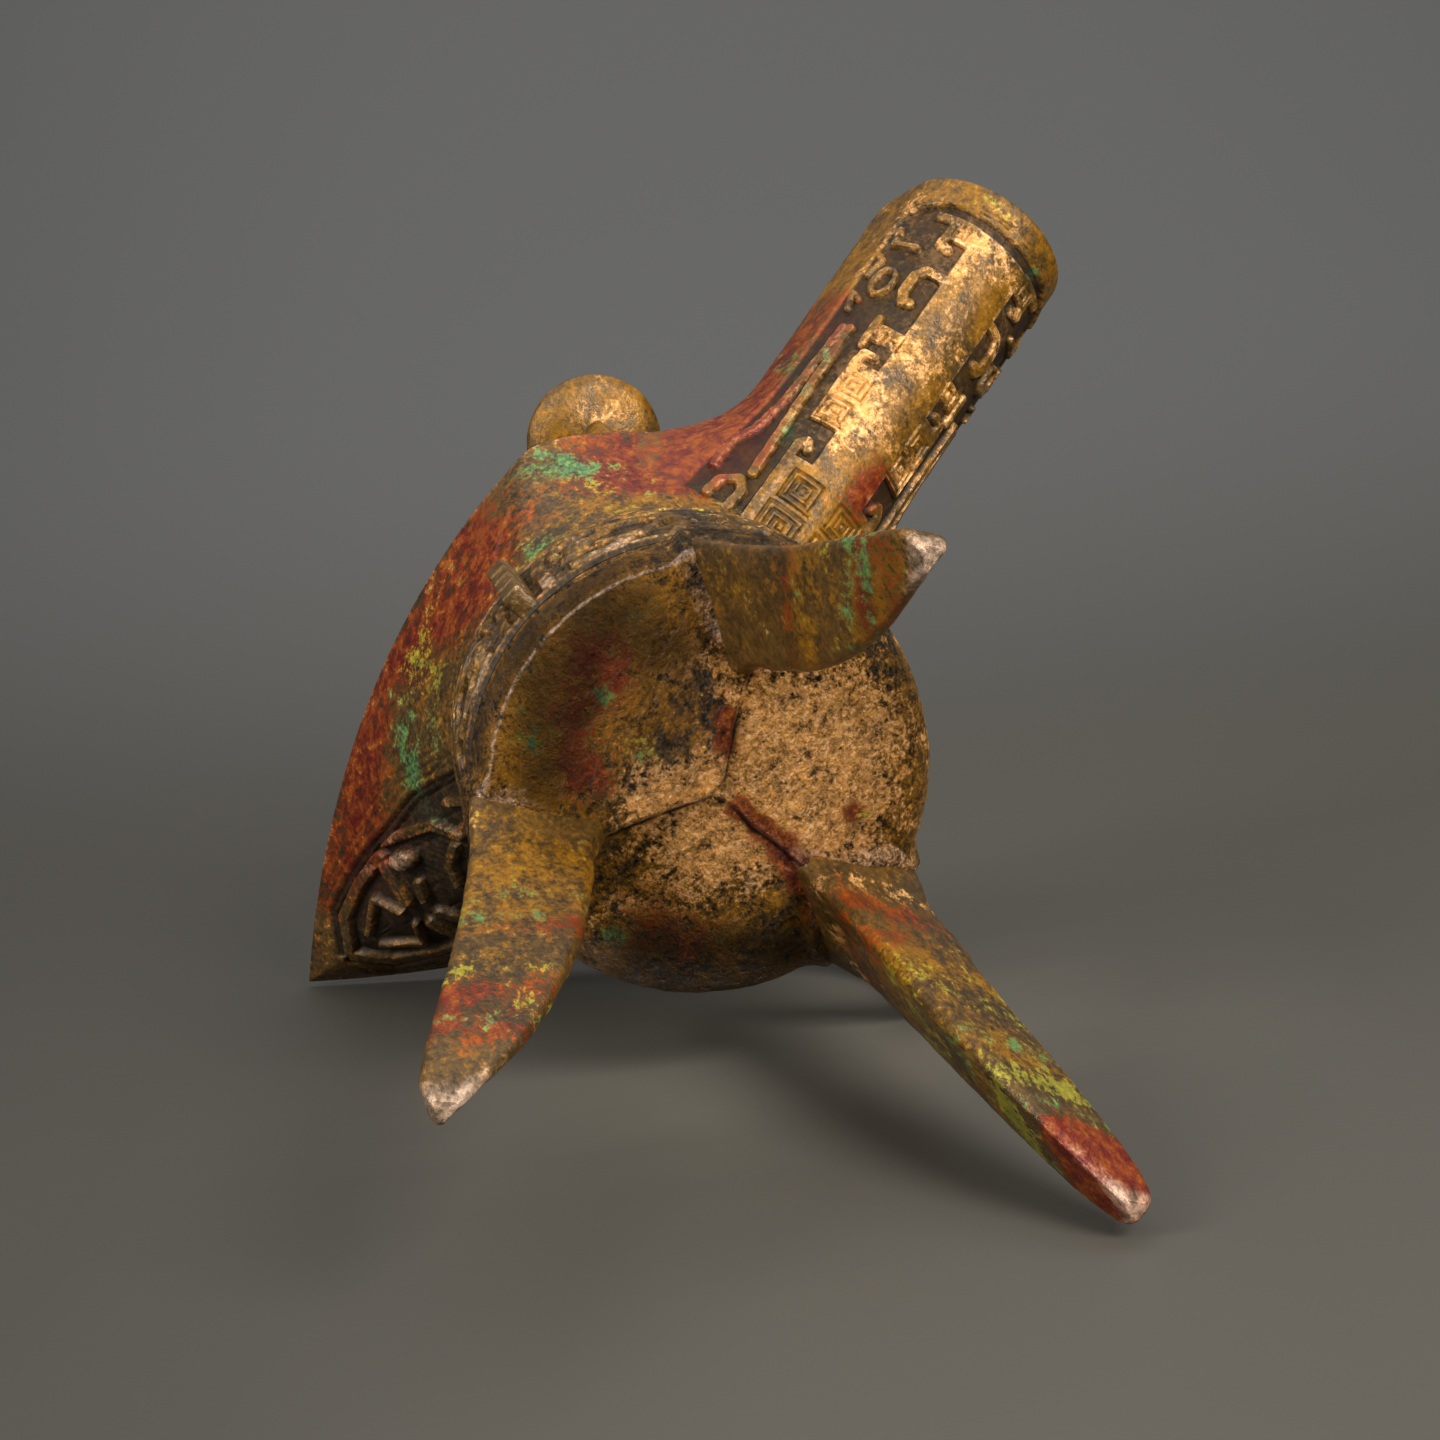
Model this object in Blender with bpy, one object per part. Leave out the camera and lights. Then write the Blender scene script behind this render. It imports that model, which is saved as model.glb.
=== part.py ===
"""A three-legged bronze drinking cup with a long spout, a pointed tail, two capped posts on the rim and a strap
handle, cast in one piece: one closed body, hollow and open at the top.

Axes: the spout points along +X, the handle along +Y, the feet stand on z = 0. The body's round part is turned about
an upright axis; everything is worked out about that axis and then shifted so that the middle of the whole cup's
footprint is the origin.
"""

import math

import bmesh
import bpy
from mathutils import Vector

for old in list(bpy.data.objects):
    bpy.data.objects.remove(old, do_unlink=True)

MM = 0.001

# Wall of the casting, the size that every hollow is held back by.
WALL = 2.6 * MM

# Round body: a domed underside, an upright band and a waist under the flaring mouth.
BODY_R = 32.0 * MM
BOTTOM_Z = 85.0 * MM
DOME_H = 12.0 * MM
BAND_Z = BOTTOM_Z + DOME_H + 3.5 * MM
BAND_H = 24.0 * MM
BAND_PROUD = 0.6 * MM
WAIST_R = BODY_R - 2.8 * MM
WAIST_Z = BAND_Z + BAND_H + 4.5 * MM
DOME_SQUARE = 2.35

# Mouth: a lens in plan, low at the sides, rising to the tail and to the spout.
MOUTH_HALF = BODY_R + 6.3 * MM
MOUTH_X = 13.4 * MM
RIM_Z = 161.0 * MM
TAIL_REACH = 76.6 * MM
TAIL_Z = 187.7 * MM
BACK_POWER = 1.94
FRONT_REACH = 33.0 * MM
FRONT_POWER = 1.4
TAIL_RISE = 1.635
SPOUT_RISE = 1.183

# Spout: a trough of one section along a sloping axis, its end cut square to that axis.
SPOUT_HALF = 14.6 * MM
SPOUT_FLARE = 2.2 * MM
SPOUT_ROOT = 7.0 * MM
SPOUT_TIP_X = 97.6 * MM
SPOUT_ROOT_Z = 143.5 * MM
SPOUT_DEPTH = 27.5 * MM
SPOUT_ROUND = 15.0 * MM
SPOUT_SLOPE = math.radians(28.66)
SPOUT_TIP_Z = SPOUT_ROOT_Z + (SPOUT_TIP_X - BODY_R) * math.tan(SPOUT_SLOPE)
SPOUT_START_X = BODY_R - 4.0 * MM
SPOUT_FLARE_X = BODY_R + 24.0 * MM
SPOUT_ROOT_X = BODY_R + 12.0 * MM
SPOUT_END_ROUND = 4.5 * MM
# The sides sweep out towards the rim at the root, to meet the mouth.
SPOUT_SWEEP = 17.0 * MM
SPOUT_SWEEP_X = BODY_R + 28.0 * MM
SPOUT_SWEEP_RUN = 34.0 * MM

# Legs: three blades, flat outside and with a ridge towards the middle.
LEG_ANGLES = (math.radians(-31.7), math.radians(208.3), math.radians(88.3))
LEG_TOP_Z = BOTTOM_Z + DOME_H + 4.0 * MM
LEG_TOP_R = BODY_R - 0.8 * MM
LEG_FOOT_R = BODY_R + 17.8 * MM
LEG_DEPTH = 15.9 * MM
LEG_THICK = 14.4 * MM
LEG_TAPER_Z = 15.0 * MM
FOOT_DEPTH = 3.6 * MM
FOOT_THICK = 3.6 * MM
FOOT_ROUND = 1.8 * MM
FOOT_ROUND_Z = 7.0 * MM
LEG_ROOT_FLARE = 4.2 * MM
LEG_ROOT_Z = 14.0 * MM

# Posts on the rim with mushroom caps.
POST_X = MOUTH_X + 9.2 * MM
POST_Y = MOUTH_HALF - 11.9 * MM
POST_W = 6.4 * MM
POST_IN = 3.0 * MM
POST_FOOT_SLOPE = 0.9
CAP_R = 11.1 * MM
CAP_Z = RIM_Z + 24.9 * MM
CAP_H = 8.4 * MM
CAP_LIP = 1.6 * MM
CAP_UNDER = 3.4 * MM

# Handle: a strap from the mouth's foot out and back to the band, above the third leg.
HANDLE_Y = BODY_R + 24.0 * MM
HANDLE_W = 10.0 * MM
HANDLE_T = 4.2 * MM
HANDLE_TOP_Z = WAIST_Z + 10.0 * MM
HANDLE_LOW_Z = BAND_Z + 3.5 * MM

# Flanges on the band: one facing away from the handle, two under the spout and the tail.
FLANGE_ANGLES = (math.radians(-90.0), math.radians(0.0), math.radians(180.0))
FLANGE_OUT = 4.4 * MM
FLANGE_T = 3.3 * MM
FLANGE_INTO = 1.2 * MM

# Casting seams under the body and the coarse relief.
SEAM_W = 2.2 * MM
SEAM_PROUD = 0.5 * MM
EYE_R = 3.2 * MM
RIDGE_ARC = 16.4 * MM
HOOK_X = SPOUT_TIP_X - 21.2 * MM
RIDGE_START = BODY_R - 1.0 * MM
RIDGE_END = SPOUT_TIP_X - 32.6 * MM
HOOK_ARC = 7.0 * MM
HOOK_R = 3.3 * MM
RELIEF_W = 2.0 * MM
RELIEF_PROUD = 0.9 * MM

AROUND = 72
SPOUT_TOP_X = SPOUT_TIP_X - SPOUT_DEPTH * math.sin(SPOUT_SLOPE)
SPOUT_TOP_Z = SPOUT_TIP_Z + SPOUT_DEPTH * math.cos(SPOUT_SLOPE)
AXIS_X = -(SPOUT_TIP_X - TAIL_REACH) / 2
AXIS_Y = -(HANDLE_Y - max(MOUTH_HALF, POST_Y + CAP_R)) / 2


def smooth(t):
    t = min(max(t, 0.0), 1.0)
    return t * t * (3 - 2 * t)


def collection(name):
    group = bpy.data.collections.new(name)
    bpy.context.scene.collection.children.link(group)
    return group


CUP_SET = collection("drinking_cup")
CUTTERS = collection("cutters")


def solid(name, points, faces, home):
    """A closed mesh of the points, given about the body's axis, its faces turned outwards."""
    mesh = bpy.data.meshes.new(name)
    mesh.from_pydata([(x + AXIS_X, y + AXIS_Y, z) for x, y, z in points], [], faces)
    work = bmesh.new()
    work.from_mesh(mesh)
    bmesh.ops.recalc_face_normals(work, faces=work.faces)
    if work.calc_volume(signed=True) < 0:
        bmesh.ops.reverse_faces(work, faces=work.faces)
    work.to_mesh(mesh)
    work.free()
    thing = bpy.data.objects.new(name, mesh)
    home.objects.link(thing)
    return thing


def loft(name, rings, home, low=None, high=None):
    """Rings of the same number of points joined by a skin, each end closed by a fan to a point."""
    n = len(rings[0])
    points = [p for ring in rings for p in ring]
    faces = []
    for k in range(len(rings) - 1):
        for i in range(n):
            j = (i + 1) % n
            faces.append((k * n + i, k * n + j, (k + 1) * n + j, (k + 1) * n + i))
    for ring, base, tip, flip in ((rings[0], 0, low, True), (rings[-1], (len(rings) - 1) * n, high, False)):
        middle = tip or tuple(sum(p[a] for p in ring) / n for a in range(3))
        points.append(middle)
        last = len(points) - 1
        for i in range(n):
            j = (i + 1) % n
            faces.append((base + j, base + i, last) if flip else (base + i, base + j, last))
    return solid(name, points, faces, home)


def rim_height(x):
    """Height of the rim's top at a distance along the cup from its axis."""
    if x < MOUTH_X:
        u = min((MOUTH_X - x) / (MOUTH_X + TAIL_REACH), 1.0)
        return RIM_Z + (TAIL_Z - RIM_Z) * u ** TAIL_RISE
    v = (x - MOUTH_X) / (SPOUT_TOP_X - MOUTH_X)
    return RIM_Z + (SPOUT_TOP_Z - RIM_Z) * v ** SPOUT_RISE


def mouth_point(angle, rise, inset):
    """A point of the mouth's wall: rise 0 at the waist, 1 at the rim; inset holds the wall back from the outside."""
    c, s = math.cos(angle), math.sin(angle)
    side = math.copysign(1.0, s) if abs(s) > 1e-9 else 0.0
    half = MOUTH_HALF - inset
    if c < 0:
        reach = MOUTH_X + TAIL_REACH - 1.9 * inset
        x, y = MOUTH_X + reach * c, side * half * (1 - abs(c) ** BACK_POWER)
    else:
        reach = FRONT_REACH - 1.9 * inset
        x, y = MOUTH_X + reach * c, side * half * (1 - c ** FRONT_POWER)
    radius = WAIST_R - inset
    out = max(rise, 0.0) ** (1.62 - 0.27 * smooth(-c * 1.1))
    top = rim_height(x)
    return (
        radius * c * (1 - out) + x * out,
        radius * s * (1 - out) + y * out,
        WAIST_Z + (top - WAIST_Z) * rise,
    )


def ring_at(radius, z):
    step = 2 * math.pi / AROUND
    return [(radius * math.cos(i * step), radius * math.sin(i * step), z) for i in range(AROUND)]


def dome(radius, low, height, steps):
    """Rings of a domed underside, squarer than a circle's arc, from near the pole up to full radius."""
    rings = []
    for i in range(1, steps + 1):
        a = math.pi / 2 * i / steps
        rings.append(
            ring_at(radius * math.sin(a) ** (2 / DOME_SQUARE), low + height * (1 - math.cos(a) ** (2 / DOME_SQUARE)))
        )
    return rings


def mouth_rings(inset, rises):
    step = 2 * math.pi / AROUND
    return [[mouth_point(i * step, t, inset) for i in range(AROUND)] for t in rises]


def body(home):
    rings = dome(BODY_R, BOTTOM_Z, DOME_H, 9)
    proud = BODY_R + BAND_PROUD
    rings += [ring_at(BODY_R, BAND_Z - 0.6 * MM), ring_at(proud, BAND_Z), ring_at(proud, BAND_Z + BAND_H * 0.5)]
    rings += [ring_at(proud, BAND_Z + BAND_H), ring_at(BODY_R - 0.4 * MM, BAND_Z + BAND_H + 0.8 * MM)]
    rings += mouth_rings(0.0, [k / 9 for k in range(10)])
    return loft("body", rings, home, low=(0, 0, BOTTOM_Z), high=(10 * MM, 0, RIM_Z + 4 * MM))


def bowl(home):
    floor = BOTTOM_Z + WALL
    inner = BODY_R - WALL
    rings = dome(inner, floor, DOME_H - WALL / 5, 7)
    rings += [ring_at(inner, BAND_Z + BAND_H * 0.55)]
    rings += mouth_rings(WALL, [k / 8 for k in range(9)])
    rings += [[(x, y, z + 25 * MM) for x, y, z in rings[-1]]]
    return loft("bowl", rings, home, low=(0, 0, floor), high=(10 * MM, 0, TAIL_Z + 45 * MM))


def trough_half(x):
    """Half the spout's width at its keel station, wider at the root."""
    half = SPOUT_HALF + SPOUT_FLARE * smooth((SPOUT_FLARE_X - x) / SPOUT_SWEEP_RUN)
    return half + SPOUT_ROOT * smooth((SPOUT_ROOT_X - x) / (SPOUT_SWEEP_RUN - 8 * MM)) ** 2


def trough_deep(x, inset):
    """Depth of the section square to the spout's axis, up to where its plane meets the rim line."""
    up = Vector((-math.sin(SPOUT_SLOPE), 0, math.cos(SPOUT_SLOPE)))
    keel = Vector((x, 0, SPOUT_TIP_Z - (SPOUT_TIP_X - x) * math.tan(SPOUT_SLOPE))) + up * inset
    deep = SPOUT_DEPTH
    for _ in range(12):
        edge = keel + up * deep
        deep += (rim_height(edge.x) - edge.z) * 0.8
    near = min(max(1 - (SPOUT_TIP_X - x) / SPOUT_END_ROUND, 0.0), 1.0)
    return keel, up, deep - SPOUT_END_ROUND * (1 - math.sqrt(1 - near * near))


def trough_sweep(x, part):
    """How far the side leans out at a part of the section's depth, so that its rim runs into the mouth's."""
    return SPOUT_SWEEP * smooth((SPOUT_SWEEP_X - x) / SPOUT_SWEEP_RUN) ** 1.3 * max(part, 0.0) ** 2.5


def trough_section(x, inset, lift):
    """One section of the spout, square to its axis, whose keel is at x; the top follows the rim plus a lift."""
    half = trough_half(x) - inset
    keel, up, rim = trough_deep(x, inset)
    deep = rim + lift
    rounding = min(SPOUT_ROUND, deep * 0.8)
    across = []
    for k in range(13):
        a = -math.pi / 2 + math.pi * k / 12
        across.append((half * math.sin(a), rounding * (1 - math.cos(a))))
    side = [(half, rounding + (rim - rounding) * part) for part in (0.35, 0.7, 1.0)]
    if lift:
        side.append((half, deep))
    across = [(-y, h) for y, h in reversed(side)] + across + side + [(0, deep)]
    swept = [(y + math.copysign(trough_sweep(x, min(h / rim, 1.0)), y) if y else 0.0, h) for y, h in across]
    return [tuple(keel + up * h + Vector((0, y, 0))) for y, h in swept]


def trough_point(x, arc, out):
    """A point on the spout's outside: x of its section's keel, arc from the keel round the U, out along the normal."""
    half = trough_half(x)
    side, left = math.copysign(1.0, arc), abs(arc)
    a, step = 0.0, math.radians(2)
    while a < math.pi / 2 - 1e-9:
        run = math.hypot(half * math.cos(a + step / 2), SPOUT_ROUND * math.sin(a + step / 2)) * step
        if run > left:
            a += step * left / run
            left = 0.0
            break
        left -= run
        a += step
    y, h = half * math.sin(a), SPOUT_ROUND * (1 - math.cos(a)) + left
    across, down = SPOUT_ROUND * math.sin(a), -half * math.cos(a)
    size = math.hypot(across, down)
    keel, up, deep = trough_deep(x, 0.0)
    y += trough_sweep(x, h / deep)
    y, h = y + out * across / size, h + out * down / size
    return tuple(keel + up * h + Vector((0, side * y, 0)))


def strip(name, path, width, home):
    """A raised line lying on the spout's outside along a path of (x, arc)."""
    rings = []
    for k, (x, arc) in enumerate(path):
        before, after = path[max(k - 1, 0)], path[min(k + 1, len(path) - 1)]
        dx, da = after[0] - before[0], after[1] - before[1]
        size = math.hypot(dx, da)
        nx, na = -da / size * width / 2, dx / size * width / 2
        ring = [(1.0, -0.8 * MM), (0.75, RELIEF_PROUD), (-0.75, RELIEF_PROUD), (-1.0, -0.8 * MM)]
        rings.append([trough_point(x + nx * w, arc + na * w, out) for w, out in ring])
    return loft(name, rings, home)


def hook_path(side):
    """A C open towards the cup, near the spout's end."""
    path = []
    for k in range(9):
        a = math.radians(-150 + 300 * k / 8)
        path.append((HOOK_X + HOOK_R * 1.15 * math.cos(a), side * (HOOK_ARC + HOOK_R * 0.8 * math.sin(a))))
    return path


def ridge_path(side):
    """A long line up the side of the spout from its root, bending in towards the keel at the far end."""
    path = []
    for k in range(10):
        t = k / 9
        path.append((RIDGE_START + (RIDGE_END - RIDGE_START) * t, side * (RIDGE_ARC - 3.2 * MM * smooth((t - 0.6) / 0.4))))
    return path


def spout(home):
    last = SPOUT_TIP_X - SPOUT_END_ROUND
    stations = [SPOUT_START_X + (last - SPOUT_START_X) * k / 11 for k in range(12)]
    stations += [SPOUT_TIP_X - SPOUT_END_ROUND * part for part in (0.6, 0.3, 0.12, 0.0)]
    return loft("spout", [trough_section(x, 0.0, 0.0) for x in stations], home)


def spout_channel(home):
    first = SPOUT_START_X - 2 * MM
    along = (SPOUT_TIP_X + 12 * MM - first) / 12
    return loft("spout_channel", [trough_section(first + along * k, WALL, 26 * MM) for k in range(13)], home)


def turn(angle, r, t, z):
    """A point at distance r out from the axis along an azimuth, t to its left, at height z."""
    return (r * math.cos(angle) - t * math.sin(angle), r * math.sin(angle) + t * math.cos(angle), z)


def leg_size(z):
    """The blade at a height: outer radius, depth towards the middle, thickness."""
    up = z / LEG_TOP_Z
    worn = max(1 - z / FOOT_ROUND_Z, 0.0) ** 2
    outer = LEG_FOOT_R + (LEG_TOP_R - LEG_FOOT_R) * up - 1.6 * MM * math.sin(math.pi * up) - FOOT_ROUND * worn
    root = smooth((z - (BOTTOM_Z - LEG_ROOT_Z)) / (LEG_ROOT_Z + DOME_H)) ** 1.5
    swell = 1 - math.exp(-z / LEG_TAPER_Z)
    depth = FOOT_DEPTH + (LEG_DEPTH - FOOT_DEPTH) * swell + LEG_ROOT_FLARE * root
    widen = 0.4 * (1 - math.exp(-z / (0.6 * LEG_TAPER_Z))) + 0.6 * up
    thick = FOOT_THICK + (LEG_THICK - FOOT_THICK) * widen + 1.2 * LEG_ROOT_FLARE * root
    return outer, depth, thick


def leg(name, angle, home):
    heights = [LEG_TAPER_Z * part for part in (0.0, 0.05, 0.2, 0.45, 0.8, 1.3, 2.0)]
    start = BOTTOM_Z - LEG_ROOT_Z
    heights += [heights[-1] + (start - heights[-1]) * part for part in (0.3, 0.65, 1.0)]
    heights += [start + (LEG_TOP_Z - start) * part for part in (0.2, 0.38, 0.55, 0.75, 1.0)]
    rings = []
    for h in heights:
        outer, depth, thick = leg_size(h)
        b, edge = thick / 2, 1.0 * MM
        shape = [(0, b - edge), (-edge, b), (-0.3 * depth, 0.85 * b), (-0.72 * depth, 0.46 * b), (-depth, 0.17 * b)]
        shape += [(r, -t) for r, t in reversed(shape)]
        if h == 0:
            shape = [(r * 0.86 - 0.3 * MM, t * 0.86) for r, t in shape]
        rings.append([turn(angle, outer + r, t, h) for r, t in shape])
    return loft(name, rings, home)


def post(name, side, home):
    """A square shaft that leans in and swells a little upwards, its foot cut to the slope of the wall it stands on."""
    turned = math.acos((POST_X - MOUTH_X) / FRONT_REACH)
    rim = mouth_point(turned, 1.0, WALL / 2)
    foot_y = rim[1] + WALL / 2 - POST_IN
    under = CAP_Z - 1.4 * MM
    rings = []
    for k, (z, w) in enumerate(((rim[2], 0.8), (rim[2] + 1.5 * MM, 0.84), ((rim[2] + under) / 2, 0.96), (under, 1.06), (under + 3 * MM, 1.08))):
        h = POST_W * w / 2
        c = h * 0.35
        shape = [(h, c), (c, h), (-c, h), (-h, c), (-h, -c), (-c, -h), (c, -h), (h, -c)]
        centre = foot_y + (POST_Y - foot_y) * smooth((z - rim[2]) / (under - rim[2]))
        ring = []
        for x, y in shape:
            z_at = min(rim[2] + (centre + y - rim[1]) * POST_FOOT_SLOPE, rim[2]) - 0.4 * MM if k == 0 else z
            ring.append((POST_X + x, side * (centre + y), z_at))
        rings.append(ring)
    return loft(name, rings, home)


def cap(name, side, home):
    rings = []
    centre = side * POST_Y
    profile = [(0.4, -0.88 * CAP_UNDER), (0.74, -0.58 * CAP_UNDER), (0.93, -0.22 * CAP_UNDER), (1.0, 0.25 * MM), (1.0, CAP_LIP)]
    for k in range(1, 6):
        a = math.pi / 2 * k / 6
        profile.append((0.97 * math.cos(a) ** 0.9, CAP_LIP + 0.3 * MM + (CAP_H - CAP_LIP) * math.sin(a)))
    for part, up in profile:
        ring = []
        for i in range(20):
            a = 2 * math.pi * i / 20
            ring.append((POST_X + CAP_R * part * math.cos(a), centre + CAP_R * part * math.sin(a), CAP_Z + up))
        rings.append(ring)
    top = (POST_X, centre, CAP_Z + CAP_H + 0.3 * MM)
    return loft(name, rings, home, low=(POST_X, centre, CAP_Z - CAP_UNDER), high=top)


def handle(home):
    """A strap bent as a half loop; its ends run into the wall."""
    inside = BODY_R - WALL * 0.55
    out = HANDLE_Y - HANDLE_T / 2 - inside
    middle = (HANDLE_TOP_Z + HANDLE_LOW_Z) / 2
    tall = (HANDLE_TOP_Z - HANDLE_LOW_Z) / 2
    rings = []
    steps = 20
    for k in range(steps + 1):
        a = -math.pi / 2 + math.pi * k / steps
        flat = 0.62
        y = inside + out * math.copysign(abs(math.cos(a)) ** flat, math.cos(a))
        z = middle + tall * math.copysign(abs(math.sin(a)) ** flat, math.sin(a))
        b = a + 1e-3 if k == 0 else (a - 1e-3 if k == steps else a)
        ty = -out * flat * abs(math.cos(b)) ** (flat - 1) * math.sin(b)
        tz = tall * flat * max(abs(math.sin(b)), 1e-3) ** (flat - 1) * math.cos(b)
        if k in (0, steps):
            ty, tz = (out, 0.0) if k == 0 else (-out, 0.0)
        length = math.hypot(ty, tz)
        ny, nz = tz / length, -ty / length
        h, w = HANDLE_T / 2, HANDLE_W / 2
        e = h * 0.5
        shape = [(w, -h + e), (w, h - e), (w - e, h), (-w + e, h), (-w, h - e), (-w, -h + e), (-w + e, -h), (w - e, -h)]
        rings.append([(x, y + ny * d, z + nz * d) for x, d in shape])
    return loft("handle", rings, home)


def block(name, angle, r0, r1, t, z0, z1, home):
    low = [turn(angle, r0, t / 2, z0), turn(angle, r1, t / 2, z0), turn(angle, r1, -t / 2, z0), turn(angle, r0, -t / 2, z0)]
    high = [(x, y, z1) for x, y, z in low]
    faces = [(0, 1, 2, 3), (4, 5, 6, 7), (0, 1, 5, 4), (1, 2, 6, 5), (2, 3, 7, 6), (3, 0, 4, 7)]
    return solid(name, low + high, faces, home)


def flange(name, angle, home):
    r1 = BODY_R + FLANGE_OUT
    return block(name, angle, BODY_R - FLANGE_INTO, r1, FLANGE_T, BAND_Z + 0.4 * MM, BAND_Z + BAND_H - 0.4 * MM, home)


def dome_height(r):
    """Underside height of the dome at a radius."""
    part = min(r / BODY_R, 1.0) ** DOME_SQUARE
    return BOTTOM_Z + DOME_H * (1 - (1 - part) ** (1 / DOME_SQUARE))


def seam(name, angle, home):
    """A low ridge left by the mould along the underside, from near the middle to a leg."""
    rings = []
    for k in range(7):
        r = BODY_R * (0.03 + 0.5 * k / 6)
        low = dome_height(r) - SEAM_PROUD * (1.0 if k else 0.7)
        shape = [(SEAM_W / 2, 1.5 * MM), (SEAM_W * 0.4, 0.2 * MM), (0, 0), (-SEAM_W * 0.4, 0.2 * MM), (-SEAM_W / 2, 1.5 * MM)]
        rings.append([turn(angle, r, t, low + up) for t, up in shape])
    return loft(name, rings, home)


def boss(name, at, size, home):
    """A low rounded boss, such as an eye of a mask."""
    rings = []
    for k in range(1, 6):
        a = math.pi * k / 6
        ring = []
        for i in range(10):
            b = 2 * math.pi * i / 10
            ring.append(tuple(at[c] + size[c] * v for c, v in enumerate((math.sin(a) * math.cos(b), math.sin(a) * math.sin(b), -math.cos(a)))))
        rings.append(ring)
    low, high = (at[0], at[1], at[2] - size[2]), (at[0], at[1], at[2] + size[2])
    return loft(name, rings, home, low=low, high=high)


def tail_eye(name, side, home):
    angle = math.radians(180.0 - side * 23.0)
    x, y, z = mouth_point(angle, 0.46, 0.4 * MM)
    return boss(name, (x, y, z), (EYE_R, EYE_R, EYE_R * 1.1), home)


def band_eye(name, degrees, home):
    angle = math.radians(degrees)
    r = BODY_R - 0.7 * MM
    return boss(name, turn(angle, r, 0, BAND_Z + BAND_H * 0.56), (2.4 * MM, 2.4 * MM, 2.6 * MM), home)


def combine(base, tool, how):
    tool.hide_render = True
    tool.display_type = "WIRE"
    step = base.modifiers.new(tool.name, "BOOLEAN")
    step.operation = how
    step.solver = "EXACT"
    step.object = tool


def bronze():
    look = bpy.data.materials.new("patinated_bronze")
    look.use_nodes = True
    shader = next(n for n in look.node_tree.nodes if n.type == "BSDF_PRINCIPLED")
    shader.inputs["Base Color"].default_value = (0.16, 0.115, 0.06, 1)
    shader.inputs["Roughness"].default_value = 0.55
    shader.inputs["Metallic"].default_value = 0.35
    return look


cup = body(CUP_SET)
cup.name = "cup"
cup.data.name = "cup"
joined = [spout(CUTTERS)]
joined += [leg(f"leg_{n}", a, CUTTERS) for n, a in zip("abc", LEG_ANGLES)]
joined += [flange(f"flange_{n}", a, CUTTERS) for n, a in zip(("side", "front", "back"), FLANGE_ANGLES)]
joined += [seam(f"seam_{n}", a, CUTTERS) for n, a in zip("abc", LEG_ANGLES)]
joined += [tail_eye("tail_eye_near", -1, CUTTERS), tail_eye("tail_eye_far", 1, CUTTERS)]
joined += [band_eye(f"band_eye_{k}", d, CUTTERS) for k, d in enumerate((-122, -58, 58, 122))]
for n, side in (("near", -1), ("far", 1)):
    joined += [strip(f"spout_hook_{n}", hook_path(side), RELIEF_W, CUTTERS)]
    joined += [strip(f"spout_ridge_{n}", ridge_path(side), RELIEF_W, CUTTERS)]
joined += [post("post_near", -1, CUTTERS), post("post_far", 1, CUTTERS)]
for piece in joined[:-2]:
    combine(cup, piece, "UNION")
combine(cup, bowl(CUTTERS), "DIFFERENCE")
combine(cup, spout_channel(CUTTERS), "DIFFERENCE")
for piece in joined[-2:] + [cap("cap_near", -1, CUTTERS), cap("cap_far", 1, CUTTERS), handle(CUTTERS)]:
    combine(cup, piece, "UNION")
cup.data.materials.append(bronze())
for face in cup.data.polygons:
    face.use_smooth = True
cup.data.set_sharp_from_angle(angle=math.radians(35))
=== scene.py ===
"""Looks of a three-legged bronze drinking cup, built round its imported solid.

The cup stands where the CAD has it. The camera, the floor and the lights are turned round it, so that it
lies as it was photographed: on the tip of its tail, its handle and the foot under the handle. Sizes inside
this file are millimetres about the upright axis of the round body; `finish` turns them into metres and
shifts them to the frame's origin.
"""

import math
from types import SimpleNamespace

import bpy
import numpy as np
from bpy.props import FloatProperty, FloatVectorProperty, IntProperty, PointerProperty
from mathutils import Euler, Matrix, Vector, kdtree


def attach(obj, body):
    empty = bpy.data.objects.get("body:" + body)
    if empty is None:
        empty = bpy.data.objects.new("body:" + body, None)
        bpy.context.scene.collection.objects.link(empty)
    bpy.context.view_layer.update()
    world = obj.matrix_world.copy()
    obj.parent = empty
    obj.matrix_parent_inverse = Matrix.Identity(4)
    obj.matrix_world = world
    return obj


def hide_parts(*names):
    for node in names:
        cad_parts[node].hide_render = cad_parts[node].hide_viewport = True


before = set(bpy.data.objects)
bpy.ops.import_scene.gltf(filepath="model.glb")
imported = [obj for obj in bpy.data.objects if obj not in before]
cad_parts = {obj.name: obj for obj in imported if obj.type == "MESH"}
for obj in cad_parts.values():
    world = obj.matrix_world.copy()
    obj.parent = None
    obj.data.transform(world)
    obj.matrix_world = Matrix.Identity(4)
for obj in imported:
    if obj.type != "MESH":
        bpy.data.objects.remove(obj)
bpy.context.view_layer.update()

bl_info = {
    "name": "Bronze drinking cup",
    "version": (1, 0, 0),
    "blender": (4, 5, 0),
    "location": "3D View > Sidebar > Cup",
    "description": "Builds the cast bronze cup with its relief and patina",
    "category": "Object",
}

MM = 0.001


def length(label, mm, text):
    return FloatProperty(name=label, description=text, default=mm * MM, min=0.0, precision=5, unit="LENGTH")


def angle(label, degrees, text):
    return FloatProperty(name=label, description=text, default=math.radians(degrees), unit="ROTATION")


def colour(label, rgb, text):
    return FloatVectorProperty(name=label, description=text, default=rgb, size=3, min=0.0, max=1.0,
                               subtype="COLOR")


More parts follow.
